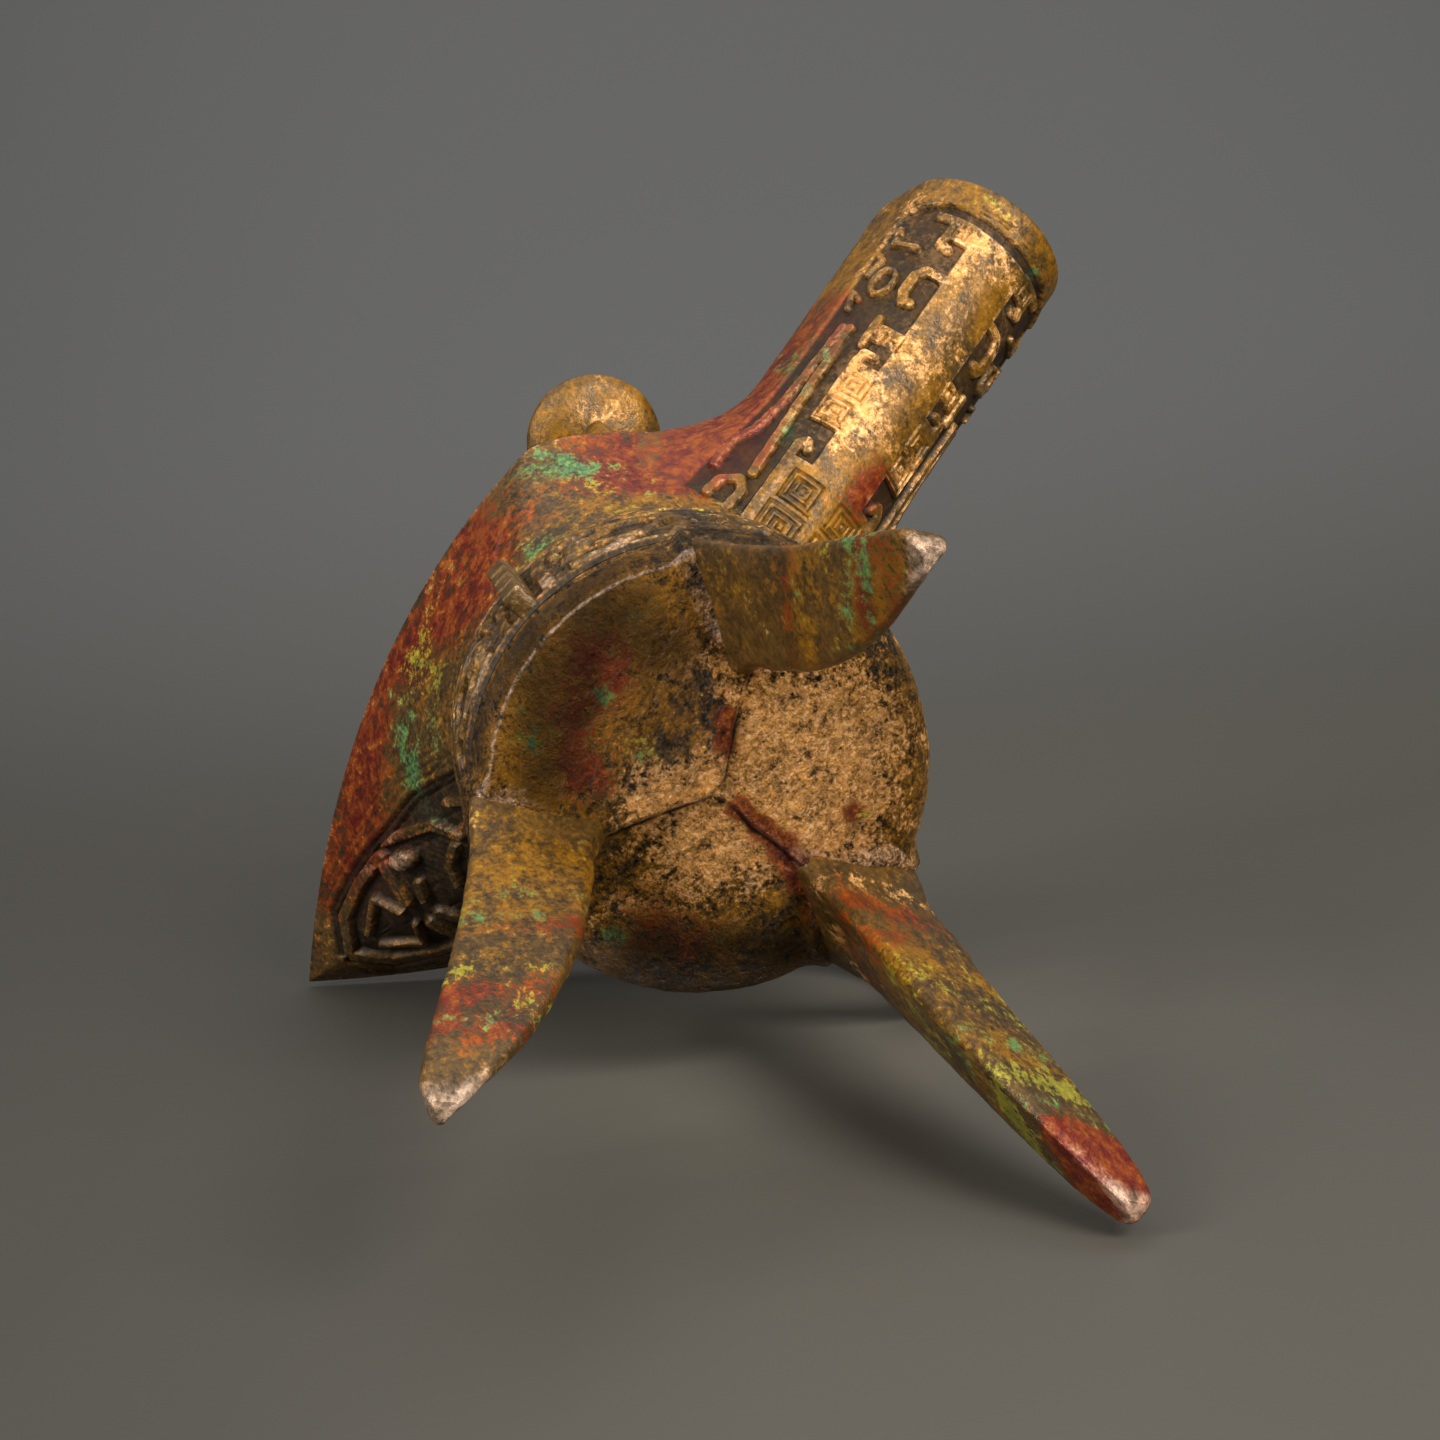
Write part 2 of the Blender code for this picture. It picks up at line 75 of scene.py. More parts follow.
class CupSizes(bpy.types.PropertyGroup):
    wall: length("Wall", 2.6, "Thickness of the casting")
    body_r: length("Body radius", 32.0, "Outside radius of the round body")
    bottom_z: length("Bottom height", 85.0, "Height of the underside above the feet")
    dome_h: length("Dome", 12.0, "Rise of the underside from its middle to the band")
    band_h: length("Band height", 24.0, "Height of the decorated band")
    band_proud: length("Band proud", 0.6, "How far the band stands out from the body")
    mouth_x: length("Mouth centre", 13.4, "Where the mouth is widest, from the axis")
    rim_z: length("Rim height", 161.0, "Lowest height of the rim")
    tail_reach: length("Tail reach", 76.6, "From the axis to the tip of the tail")
    tail_z: length("Tail height", 187.7, "Height of the tail's tip")
    front_reach: length("Front reach", 33.0, "From the mouth's centre to its closed front")
    spout_half: length("Spout half width", 14.6, "Half the width of the spout")
    spout_tip_x: length("Spout reach", 97.6, "From the axis to the end of the spout")
    spout_root_z: length("Spout root", 143.5, "Height of the spout's keel over the body's side")
    spout_depth: length("Spout depth", 27.5, "Depth of the spout at its end")
    spout_round: length("Spout rounding", 15.0, "Height of the rounded part of the spout")
    spout_end_round: length("Spout end", 4.5, "Rounding of the spout's two upper corners")
    spout_sweep: length("Spout sweep", 17.0, "How far the spout's sides sweep out into the mouth")
    spout_slope: angle("Spout slope", 28.66, "Rise of the spout")
    leg_depth: length("Leg depth", 15.9, "Depth of a leg towards the middle")
    leg_thick: length("Leg thickness", 14.4, "Thickness of a leg across its flat side")
    leg_taper_z: length("Leg taper", 15.0, "Height over which a leg narrows to its foot")
    leg_turn: angle("Leg turn", 88.3, "Azimuth of the leg under the handle")
    foot_depth: length("Foot depth", 3.6, "Depth of a foot")
    foot_thick: length("Foot thickness", 3.6, "Thickness of a foot")
    post_w: length("Post width", 6.4, "Width of a post")
    cap_r: length("Cap radius", 11.1, "Radius of a post's cap")
    cap_h: length("Cap height", 8.4, "Height of a post's cap")
    cap_under: length("Cap underside", 3.4, "How far a cap's rounded underside hangs below its edge")
    handle_w: length("Handle width", 10.0, "Width of the strap")
    handle_t: length("Handle thickness", 4.2, "Thickness of the strap")
    flange_out: length("Flange", 4.4, "How far a flange stands out")
    flange_t: length("Flange thickness", 3.3, "Thickness of a flange")
    ground_depth: length("Ground depth", 0.62, "Depth of the ground between the raised lines of the relief")
    line_proud: length("Line height", 0.3, "How far the raised lines stand out")
    cast_rough: length("Cast roughness", 0.07, "Unevenness of the cast skin")
    turned_columns: IntProperty(name="Columns", description="Divisions round the turned body", default=400,
                                min=24)


class CupColours(bpy.types.PropertyGroup):
    brown: colour("Brown", (0.130, 0.070, 0.022), "Aged bronze under the patina")
    umber: colour("Umber", (0.060, 0.036, 0.014), "Darker clouds in the aged bronze")
    # Dark also colours the painted shade where the `shade` patches lie
    dark: colour("Dark", (0.012, 0.008, 0.0045), "Dirt in the ground of the relief")
    ochre: colour("Ochre", (0.280, 0.132, 0.028), "Golden brown patina")
    tan: colour("Tan", (0.740, 0.380, 0.140), "Pale tan crust")
    red: colour("Red", (0.250, 0.064, 0.022), "Brick red patina")
    wine: colour("Wine red", (0.150, 0.014, 0.012), "Dark red patina")
    green: colour("Green", (0.110, 0.220, 0.055), "Green patina")
    verdigris: colour("Verdigris", (0.045, 0.155, 0.080), "Blue green patina")
    lime: colour("Yellow green", (0.300, 0.270, 0.050), "Yellow green patina")
    # Worn metal also colours the painted highlights: the bright line round the underside, the edge under the
    # band and the strip along the spout's keel
    worn: colour("Worn metal", (0.580, 0.410, 0.300), "Rubbed edges and ridges")
    floor: colour("Floor", (0.058, 0.052, 0.040), "Plain paper where the cup lies")
    backdrop: colour("Backdrop", (0.104, 0.103, 0.098), "Plain paper behind the cup")


def smooth(t):
    t = np.clip(t, 0.0, 1.0)
    return t * t * (3 - 2 * t)


def form():
    """The sizes in millimetres, with those that follow from them."""
    sizes = bpy.context.scene.cup_sizes
    f = SimpleNamespace(**{k: getattr(sizes, k) / MM for k in CupSizes.__annotations__})
    f.spout_slope, f.leg_turn, f.turned_columns = sizes.spout_slope, sizes.leg_turn, sizes.turned_columns
    f.band_z = f.bottom_z + f.dome_h + 3.5
    f.waist_r = f.body_r - 2.8
    f.waist_z = f.band_z + f.band_h + 4.5
    f.dome_square = 2.35
    f.mouth_half = f.body_r + 6.3
    f.back_power, f.front_power, f.tail_rise, f.spout_rise = 1.94, 1.4, 1.635, 1.183
    f.spout_tip_z = f.spout_root_z + (f.spout_tip_x - f.body_r) * math.tan(f.spout_slope)
    f.spout_top_x = f.spout_tip_x - f.spout_depth * math.sin(f.spout_slope)
    f.spout_top_z = f.spout_tip_z + f.spout_depth * math.cos(f.spout_slope)
    f.leg_top_z = f.bottom_z + f.dome_h + 4.0
    f.leg_top_r = f.body_r - 0.8
    f.leg_foot_r = f.body_r + 17.8
    f.leg_root_flare, f.leg_root_z = 4.2, 14.0
    f.foot_round, f.foot_round_z = 1.8, 7.0
    f.post_x, f.post_y, f.post_in, f.post_slope = f.mouth_x + 9.2, f.mouth_half - 11.9, 3.0, 0.9
    f.cap_z, f.cap_lip = f.rim_z + 24.9, 1.6
    f.handle_y = f.body_r + 24.0
    f.handle_top_z, f.handle_low_z = f.waist_z + 10.0, f.band_z + 3.5
    f.shift = np.array([-(f.spout_tip_x - f.tail_reach) / 2,
                        -(f.handle_y - max(f.mouth_half, f.post_y + f.cap_r)) / 2, 0.0])
    return f


# Unevenness and relief

def lattice(ix, iy, iz, seed):
    """A repeatable number from 0 to 1 for each corner of a grid."""
    h = (ix * 73856093) ^ (iy * 19349663) ^ (iz * 83492791) ^ (seed * 40503 + 977)
    h = ((h ^ (h >> 13)) * 1274126177) & 0xFFFFFFFF
    return ((h ^ (h >> 16)) & 0xFFFF) / 65535.0


def grain(points, size, seed=1, octaves=3):
    """Smooth unevenness from -1 to 1 whose largest bumps are `size` across."""
    total, weight, out = 0.0, 1.0, np.zeros(len(points))
    for octave in range(octaves):
        p = points / (size / 2 ** octave) + 1000.0 + octave * 17.3
        cell = np.floor(p).astype(np.int64)
        w = p - cell
        w = w * w * (3 - 2 * w)
        shares = (1 - w, w)
        value = 0.0
        for dx in (0, 1):
            for dy in (0, 1):
                for dz in (0, 1):
                    part = shares[dx][:, 0] * shares[dy][:, 1] * shares[dz][:, 2]
                    corner = (cell + (dx, dy, dz)).T
                    value = value + part * lattice(*corner, seed + octave)
        out += weight * (2 * value - 1)
        total += weight
        weight *= 0.5
    return out / total


def stroke(u, v, path, width):
    """Signed distance to a line of a given width along a path."""
    best = np.full(np.shape(u), 1e9)
    for (a, b), (c, d) in zip(path[:-1], path[1:]):
        du, dv = c - a, d - b
        t = np.clip(((u - a) * du + (v - b) * dv) / (du * du + dv * dv + 1e-12), 0, 1)
        best = np.minimum(best, np.hypot(u - a - t * du, v - b - t * dv))
    return best - width / 2


def patch(u, v, u0, u1, v0, v1):
    """Signed distance to an upright rectangle."""
    a, b = np.abs(u - (u0 + u1) / 2) - (u1 - u0) / 2, np.abs(v - (v0 + v1) / 2) - (v1 - v0) / 2
    return np.minimum(np.maximum(a, b), 0) + np.hypot(np.maximum(a, 0), np.maximum(b, 0))


def oval(u, v, cu, cv, ru, rv):
    return (np.hypot((u - cu) / ru, (v - cv) / rv) - 1) * min(ru, rv)


def arc_path(cu, cv, ru, rv, start, end, steps=12):
    turns = np.radians(np.linspace(start, end, steps))
    return list(zip(cu + ru * np.cos(turns), cv + rv * np.sin(turns)))


def scroll(u, v, cu, cv, half, pitch, turn=0):
    """Squared spiral groove: 1 in the groove, 0 between, fading out beyond half its width."""
    p, q = u - cu, v - cv
    for _ in range(turn % 4):
        p, q = -q, p
    m = np.maximum(np.abs(p), np.abs(q))
    side = np.where(np.abs(p) >= np.abs(q), np.where(p > 0, 0, 2), np.where(q > 0, 1, 3))
    wave = m / pitch - side / 4
    groove = smooth((0.30 - np.abs(wave - np.round(wave))) / 0.16)
    return groove * (m < half) * (m > pitch * 0.3)


def raised(distance, edge=0.34):
    return smooth(0.5 - distance / edge)


# Surfaces of the cup

def rim_height(f, x):
    u = np.clip((f.mouth_x - x) / (f.mouth_x + f.tail_reach), 0, 1)
    v = np.maximum((x - f.mouth_x) / (f.spout_top_x - f.mouth_x), 0)
    back = f.rim_z + (f.tail_z - f.rim_z) * u ** f.tail_rise
    return np.where(x < f.mouth_x, back, f.rim_z + (f.spout_top_z - f.rim_z) * v ** f.spout_rise)


def mouth_surface(f, turn, rise, inset):
    """The mouth's wall: rise 0 at the waist, 1 at the rim; inset holds it back from the outside."""
    turn, rise, inset = np.broadcast_arrays(turn, rise, inset)
    c, s = np.cos(turn), np.sin(turn)
    side = np.where(np.abs(s) > 1e-9, np.sign(s), 0)
    half = f.mouth_half - inset
    back_x = f.mouth_x + (f.mouth_x + f.tail_reach - 1.9 * inset) * c
    front_x = f.mouth_x + (f.front_reach - 1.9 * inset) * c
    x = np.where(c < 0, back_x, front_x)
    # the front's curve is eased where it meets the back's
    ease, power = 0.12 ** 2, f.front_power / 2
    front = ((c * c + ease) ** power - ease ** power) / ((1 + ease) ** power - ease ** power)
    y = side * half * np.where(c < 0, 1 - np.abs(c) ** f.back_power, 1 - front)
    radius = f.waist_r - inset
    out = np.maximum(rise, 0) ** (1.62 - 0.27 * smooth(-c * 1.1))
    z = f.waist_z + (rim_height(f, x) - f.waist_z) * rise
    return np.stack([radius * c * (1 - out) + x * out, radius * s * (1 - out) + y * out, z], -1)


def keel(f, x):
    return np.array([x, 0.0, f.spout_tip_z - (f.spout_tip_x - x) * math.tan(f.spout_slope)])


def spout_up(f):
    return np.array([-math.sin(f.spout_slope), 0.0, math.cos(f.spout_slope)])


def spout_width(f, x):
    flare = 2.2 * float(smooth((f.body_r + 24 - x) / 34))
    return f.spout_half + flare + 7.0 * float(smooth((f.body_r + 12 - x) / 26)) ** 2


def spout_deep(f, x, inset):
    base, up, deep = keel(f, x) + spout_up(f) * inset, spout_up(f), f.spout_depth
    for _ in range(12):
        edge = base + up * deep
        deep += (float(rim_height(f, edge[0])) - edge[2]) * 0.8
    near = min(max(1 - (f.spout_tip_x - x) / f.spout_end_round, 0.0), 1.0)
    return deep - f.spout_end_round * (1 - math.sqrt(1 - near * near))


def spout_sweep(f, x, part):
    """How far a side leans out at a part of the depth, so that the spout's rim runs into the mouth's."""
    return f.spout_sweep * float(smooth((f.body_r + 28 - x) / 34)) ** 1.3 * np.clip(part, 0, 1) ** 2.5


def dome_ring(f, a, radius, low, height):
    return radius * np.sin(a) ** (2 / f.dome_square), low + height * (1 - np.cos(a) ** (2 / f.dome_square))


def leg_size(f, z):
    up = z / f.leg_top_z
    worn = np.maximum(1 - z / f.foot_round_z, 0) ** 2
    outer = f.leg_foot_r + (f.leg_top_r - f.leg_foot_r) * up - 1.6 * np.sin(np.pi * up) - f.foot_round * worn
    root = smooth((z - (f.bottom_z - f.leg_root_z)) / (f.leg_root_z + f.dome_h)) ** 1.5
    deepen = 1 - np.exp(-z / f.leg_taper_z)
    depth = f.foot_depth + (f.leg_depth - f.foot_depth) * deepen + f.leg_root_flare * root
    widen = 0.4 * (1 - np.exp(-z / (0.6 * f.leg_taper_z))) + 0.6 * up
    thick = f.foot_thick + (f.leg_thick - f.foot_thick) * widen + 1.2 * f.leg_root_flare * root
    return outer, depth, thick


# Meshes

def grid_faces(rows, columns, wrap_rows=False):
    """Quads of a grid whose columns close on themselves, and its rows too if wanted."""
    r = np.arange(rows if wrap_rows else rows - 1)[:, None]
    c = np.arange(columns)[None, :]
    r2, c2 = (r + 1) % rows, (c + 1) % columns
    corners = [r * columns + c, r * columns + c2, r2 * columns + c2, r2 * columns + c]
    return np.stack(corners, -1).reshape(-1, 4)


def normals(grid, wrap_rows=False):
    """Unit normals of a grid of points whose columns close on themselves."""
    across = np.roll(grid, -1, 1) - np.roll(grid, 1, 1)
    along = np.roll(grid, -1, 0) - np.roll(grid, 1, 0) if wrap_rows else np.gradient(grid, axis=0)
    n = np.cross(across, along)
    return n / np.maximum(np.linalg.norm(n, axis=-1, keepdims=True), 1e-9)


def facing(n, spot, way):
    """The normals, all turned round if the one at a spot points against a way."""
    return -n if n[spot] @ way < 0 else n


def thing(name, points, faces, values=None):
    """A mesh object about the body's axis, in millimetres, with a number per point for each named value."""
    mesh = bpy.data.meshes.new(name)
    mesh.from_pydata(np.asarray(points, float).reshape(-1, 3).tolist(), [],
                     [list(map(int, q)) for q in faces])
    made = bpy.data.objects.new(name, mesh)
    for key, numbers in (values or {}).items():
        set_values(made, key, np.ravel(numbers))
    bpy.context.scene.collection.objects.link(made)
    return made


def chain(name, points):
    """A line of edges through the points in their order."""
    made = thing(name, points, [])
    first = np.arange(len(points) - 1)
    made.data.edges.add(len(first))
    made.data.edges.foreach_set("vertices", np.stack([first, first + 1], -1).ravel())
    return made


def closed_loft(name, rings, low=None, high=None):
    """Rings of equal length with a fan to a point at each end: that ring's middle, or a point given."""
    rings = np.asarray(rings, float)
    low = rings[0].mean(0) if low is None else low
    high = rings[-1].mean(0) if high is None else high
    rows, n = rings.shape[:2]
    faces = grid_faces(rows, n).tolist()
    base, i = (rows - 1) * n, np.arange(n)
    faces += [[(k + 1) % n, k, rows * n] for k in i]
    faces += [[base + k, base + (k + 1) % n, rows * n + 1] for k in i]
    points = np.vstack([rings.reshape(-1, 3), [low, high]])
    return thing(name, points, faces)


def points_of(obj):
    numbers = np.zeros(len(obj.data.vertices) * 3)
    obj.data.vertices.foreach_get("co", numbers)
    return numbers.reshape(-1, 3)


def normals_of(obj):
    numbers = np.zeros(len(obj.data.vertices) * 3)
    obj.data.vertex_normals.foreach_get("vector", numbers)
    return numbers.reshape(-1, 3)


def values_of(obj, key):
    numbers = np.zeros(len(obj.data.vertices), np.float32)
    if key in obj.data.attributes:
        obj.data.attributes[key].data.foreach_get("value", numbers)
    return numbers


def set_points(obj, points):
    obj.data.vertices.foreach_set("co", np.asarray(points, np.float32).ravel())
    obj.data.update()


def set_values(obj, key, numbers):
    slot = obj.data.attributes.get(key) or obj.data.attributes.new(key, "FLOAT", "POINT")
    slot.data.foreach_set("value", np.asarray(numbers, np.float32))


def settle(obj):
    """Turns the modifiers' result into the object's own plain mesh."""
    bpy.context.view_layer.update()
    ready = obj.evaluated_get(bpy.context.evaluated_depsgraph_get())
    mesh = bpy.data.meshes.new_from_object(ready)
    obj.modifiers.clear()
    old = obj.data
    obj.data = mesh
    bpy.data.meshes.remove(old)
    mesh.name = obj.name
    return obj


def cut(obj, cutter):
    """Takes the cutter's volume out of a closed mesh, keeping the numbers on its points."""
    kept = {key: values_of(obj, key) for key in ("relief", "fine")}
    before = points_of(obj)
    tree = kdtree.KDTree(len(before))
    for i, p in enumerate(before):
        tree.insert(p, i)
    tree.balance()
    step = obj.modifiers.new("cut", "BOOLEAN")
    step.operation, step.solver, step.object = "DIFFERENCE", "MANIFOLD", cutter
    settle(obj)
    if len(obj.data.polygons) < 100:
        raise RuntimeError(f"{obj.name} was lost when it was cut")
    nearest = [tree.find(p)[1] for p in points_of(obj)]
    for key, numbers in kept.items():
        set_values(obj, key, numbers[nearest])
    bpy.data.objects.remove(cutter, do_unlink=True)
    return obj


def finish(obj, f, look, soft_edges=40):
    """Puts a piece in the frame: shift, smooth shading, material, body."""
    obj.data.transform(Matrix.Translation(Vector(f.shift)))
    obj.data.transform(Matrix.Scale(MM, 4))
    paint(obj, f)
    for other in list(obj.data.attributes):
        if other.name in ("along", "UVMap", "uv_map"):
            obj.data.attributes.remove(other)
    obj.data.shade_smooth()
    obj.data.set_sharp_from_angle(angle=math.radians(soft_edges))
    obj.data.materials.clear()
    obj.data.materials.append(look)
    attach(obj, "root")
    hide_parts("cup")
    return obj


def cavity(f, inset):
    """The hollow of the bowl at a distance in from the outside, open far above the rim."""
    turns = np.linspace(0, 2 * np.pi, 144, endpoint=False)
    rings = []
    for a in np.linspace(0.12, np.pi / 2, 14):
        r, z = dome_ring(f, a, f.body_r - inset, f.bottom_z + inset, f.dome_h - inset / 5)
        rings.append(np.stack([r * np.cos(turns), r * np.sin(turns), np.full(144, z)], -1))
    r = f.body_r - inset
    rings.append(np.stack([r * np.cos(turns), r * np.sin(turns), np.full(144, f.band_z + f.band_h * 0.55)],
                          -1))
    rings += [mouth_surface(f, turns, t, inset) for t in np.linspace(0, 1, 24)]
    rings.append(rings[-1] + np.array([0, 0, 25.0]))
    return closed_loft("cavity", rings, (0, 0, f.bottom_z + inset), (10, 0, f.tail_z + 45))


def channel(f, inset):
    """The hollow of the spout, running into the bowl and out past the end."""
    rings, up = [], spout_up(f)
    for x in np.linspace(f.body_r - 6, f.spout_tip_x + 12, 60):
        half, rim = spout_width(f, x) - inset, spout_deep(f, x, inset)
        a = np.linspace(-np.pi / 2, np.pi / 2, 41)
        side = np.linspace(f.spout_round, rim, 12)[1:]
        y = np.concatenate([np.full(12, -half), half * np.sin(a), np.full(12, half), [0.0]])
        h = np.concatenate([[rim + 26], side[::-1], f.spout_round * (1 - np.cos(a)), side,
                            [rim + 26, rim + 26]])
        y = y + np.sign(y) * spout_sweep(f, x, h / rim)
        base = keel(f, x) + up * inset
        rings.append(base + h[:, None] * up + y[:, None] * np.array([0, 1.0, 0]))
    return closed_loft("channel", rings)


# Node trees

def new_tree(name, sockets):
    tree = bpy.data.node_groups.new(name, "GeometryNodeTree")
    tree.interface.new_socket("Geometry", in_out="OUTPUT", socket_type="NodeSocketGeometry")
    for label, kind, value in sockets:
        item = tree.interface.new_socket(label, in_out="INPUT", socket_type=kind)
        if value is not None:
            item.default_value = value
    return tree, tree.nodes.new("NodeGroupInput").outputs, tree.nodes.new("NodeGroupOutput").inputs[0]


def node(tree, kind, setup=None, **inputs):
    """Adds a node; a value that is a socket is linked, any other is set."""
    made = tree.nodes.new(kind)
    for key, value in (setup or {}).items():
        setattr(made, key, value)
    for key, value in inputs.items():
        key = int(key[1:]) if key[0] == "i" and key[1:].isdigit() else key.replace("_", " ")
        if isinstance(value, bpy.types.NodeSocket):
            tree.links.new(value, made.inputs[key])
        else:
            made.inputs[key].default_value = value
    return made


def math_node(tree, how, *values):
    return node(tree, "ShaderNodeMath", {"operation": how},
                **{f"i{k}": v for k, v in enumerate(values)}).outputs[0]


def close_tree(tree, geometry, finish_socket, end):
    real = node(tree, "GeometryNodeRealizeInstances", Geometry=geometry).outputs[0]
    done = node(tree, "GeometryNodeSetMaterial", Geometry=real, Material=finish_socket).outputs[0]
    tree.links.new(done, end)


def grow(obj, tree, **values):
    """Runs a tree on an object and keeps the result as a plain mesh."""
    step = obj.modifiers.new(tree.name, "NODES")
    step.node_group = tree
    names = {i.name: i.identifier for i in tree.interface.items_tree
             if i.item_type == "SOCKET" and i.in_out == "INPUT"}
    for key, value in values.items():
        step[names[key.replace("_", " ")]] = value
    return settle(obj)


def turned_tree():
    """Turns a profile round the upright axis: row k of the grid stands on point k of the profile."""
    tree, given, end = new_tree("turned_shell", [
        ("Profile", "NodeSocketGeometry", None), ("Columns", "NodeSocketInt", 120),
        ("Finish", "NodeSocketMaterial", None)])
    count = node(tree, "GeometryNodeAttributeDomainSize", {"component": "MESH"},
                 Geometry=given["Profile"]).outputs["Point Count"]
    across = math_node(tree, "ADD", given["Columns"], 1.0)
    sheet = node(tree, "GeometryNodeMeshGrid", Size_X=1.0, Size_Y=1.0, Vertices_X=across,
                 Vertices_Y=count).outputs["Mesh"]
    here = node(tree, "GeometryNodeInputPosition").outputs[0]
    place = node(tree, "ShaderNodeSeparateXYZ", Vector=here).outputs
    last = math_node(tree, "SUBTRACT", count, 1.0)
    row = math_node(tree, "ROUND", math_node(tree, "MULTIPLY", math_node(tree, "ADD", place[1], 0.5), last))
    turn = math_node(tree, "MULTIPLY", math_node(tree, "ADD", place[0], 0.5), 2 * math.pi)
    held = node(tree, "GeometryNodeInputNamedAttribute", {"data_type": "FLOAT"},
                Name="along").outputs["Attribute"]
    spots = node(tree, "GeometryNodeSampleIndex", {"data_type": "FLOAT_VECTOR"}, Geometry=given["Profile"],
                 Index=row, Value=here).outputs[0]
    paths = node(tree, "GeometryNodeSampleIndex", {"data_type": "FLOAT"}, Geometry=given["Profile"],
                 Index=row, Value=held).outputs[0]
    stored = node(tree, "GeometryNodeStoreNamedAttribute", {"data_type": "FLOAT", "domain": "POINT"},
                  Geometry=sheet, Name="along", Value=paths).outputs[0]
    spun = node(tree, "ShaderNodeVectorRotate", {"rotation_type": "Z_AXIS"}, Vector=spots,
                Angle=turn).outputs[0]
    placed = node(tree, "GeometryNodeSetPosition", Geometry=stored, Position=spun).outputs[0]
    merged = node(tree, "GeometryNodeMergeByDistance", Geometry=placed, Distance=0.0005).outputs[0]
    close_tree(tree, merged, given["Finish"], end)
    return tree


def copies_tree():
    """Copies of a piece, each moved on by a step and turned by an angle about the upright axis."""
    tree, given, end = new_tree("copies", [
        ("Piece", "NodeSocketGeometry", None), ("Count", "NodeSocketInt", 3),
        ("Start", "NodeSocketVector", None),
        ("Step", "NodeSocketVector", None), ("First turn", "NodeSocketFloat", 0.0),
        ("Turn", "NodeSocketFloat", 0.0),
        ("Finish", "NodeSocketMaterial", None)])
    line = node(tree, "GeometryNodeMeshLine", Count=given["Count"], Start_Location=given["Start"],
                Offset=given["Step"]).outputs[0]
    number = node(tree, "GeometryNodeInputIndex").outputs[0]
    turn = math_node(tree, "MULTIPLY_ADD", number, given["Turn"], given["First turn"])
    spin = node(tree, "ShaderNodeCombineXYZ", Z=turn).outputs[0]
    spin = node(tree, "FunctionNodeEulerToRotation", Euler=spin).outputs[0]
    placed = node(tree, "GeometryNodeInstanceOnPoints", Points=line, Instance=given["Piece"],
                  Rotation=spin).outputs[0]
    close_tree(tree, placed, given["Finish"], end)
    return tree


def strap_tree():
    """A strap with rounded edges swept along a path."""
    tree, given, end = new_tree("strap", [
        ("Path", "NodeSocketGeometry", None), ("Width", "NodeSocketFloat", 10.0),
        ("Thickness", "NodeSocketFloat", 4.0),
        ("Rounding", "NodeSocketFloat", 1.0), ("Spacing", "NodeSocketFloat", 0.5),
        ("Finish", "NodeSocketMaterial", None)])
    path = node(tree, "GeometryNodeMeshToCurve", Mesh=given["Path"]).outputs[0]
    path = node(tree, "GeometryNodeResampleCurve", {"mode": "LENGTH"}, Curve=path,
                Length=given["Spacing"]).outputs[0]
    shape = node(tree, "GeometryNodeCurvePrimitiveQuadrilateral", Width=given["Width"],
                 Height=given["Thickness"]).outputs[0]
    shape = node(tree, "GeometryNodeFilletCurve", {"mode": "POLY"}, Curve=shape, Count=4,
                 Radius=given["Rounding"]).outputs[0]
    shape = node(tree, "GeometryNodeResampleCurve", {"mode": "LENGTH"}, Curve=shape,
                 Length=given["Spacing"]).outputs[0]
    swept = node(tree, "GeometryNodeCurveToMesh", Curve=path, Profile_Curve=shape, Fill_Caps=True).outputs[0]
    close_tree(tree, swept, given["Finish"], end)
    return tree


# Patina, painted shade and painted highlights

LEG_APART = 500.0


def seen_flat(name, p, f):
    """Points of a piece as two distances in millimetres, as its patches are placed, and where they count."""
    x, y, z = p.T
    if name == "body":
        return x, y, smooth((f.band_z - z) / 2)
    if name in ("spout", "posts"):
        return x, y, np.ones(len(p))
    if name == "legs":
        leg = np.round((np.arctan2(y, x) - f.leg_turn) / math.radians(120) + 1) % 3
        return leg * LEG_APART, z, np.ones(len(p))
    return x, z, smooth((-2 - y) / 10)


def paint(obj, f):
    """How strongly each kind of mark gathers at each point of a piece: patina, worn metal, painted shade and
    a painted highlight.
    """
    across, up, counts = seen_flat(obj.name, points_of(obj) / MM - f.shift, f)
    for kind in KINDS:
        total = np.zeros(len(across))
        for a, b, size, strength in PATCHES.get(obj.name, {}).get(kind, ()):
            if obj.name == "body":
                a, b = b * math.cos(math.radians(a)), b * math.sin(math.radians(a))
            if obj.name == "legs":
                a = a * LEG_APART
            total += strength * np.exp(-((across - a) ** 2 + (up - b) ** 2) / size ** 2)
        set_values(obj, kind, np.minimum(total, 1.6) * counts)


KINDS = ("ochre", "tan", "red", "green", "lime", "pale", "shade")
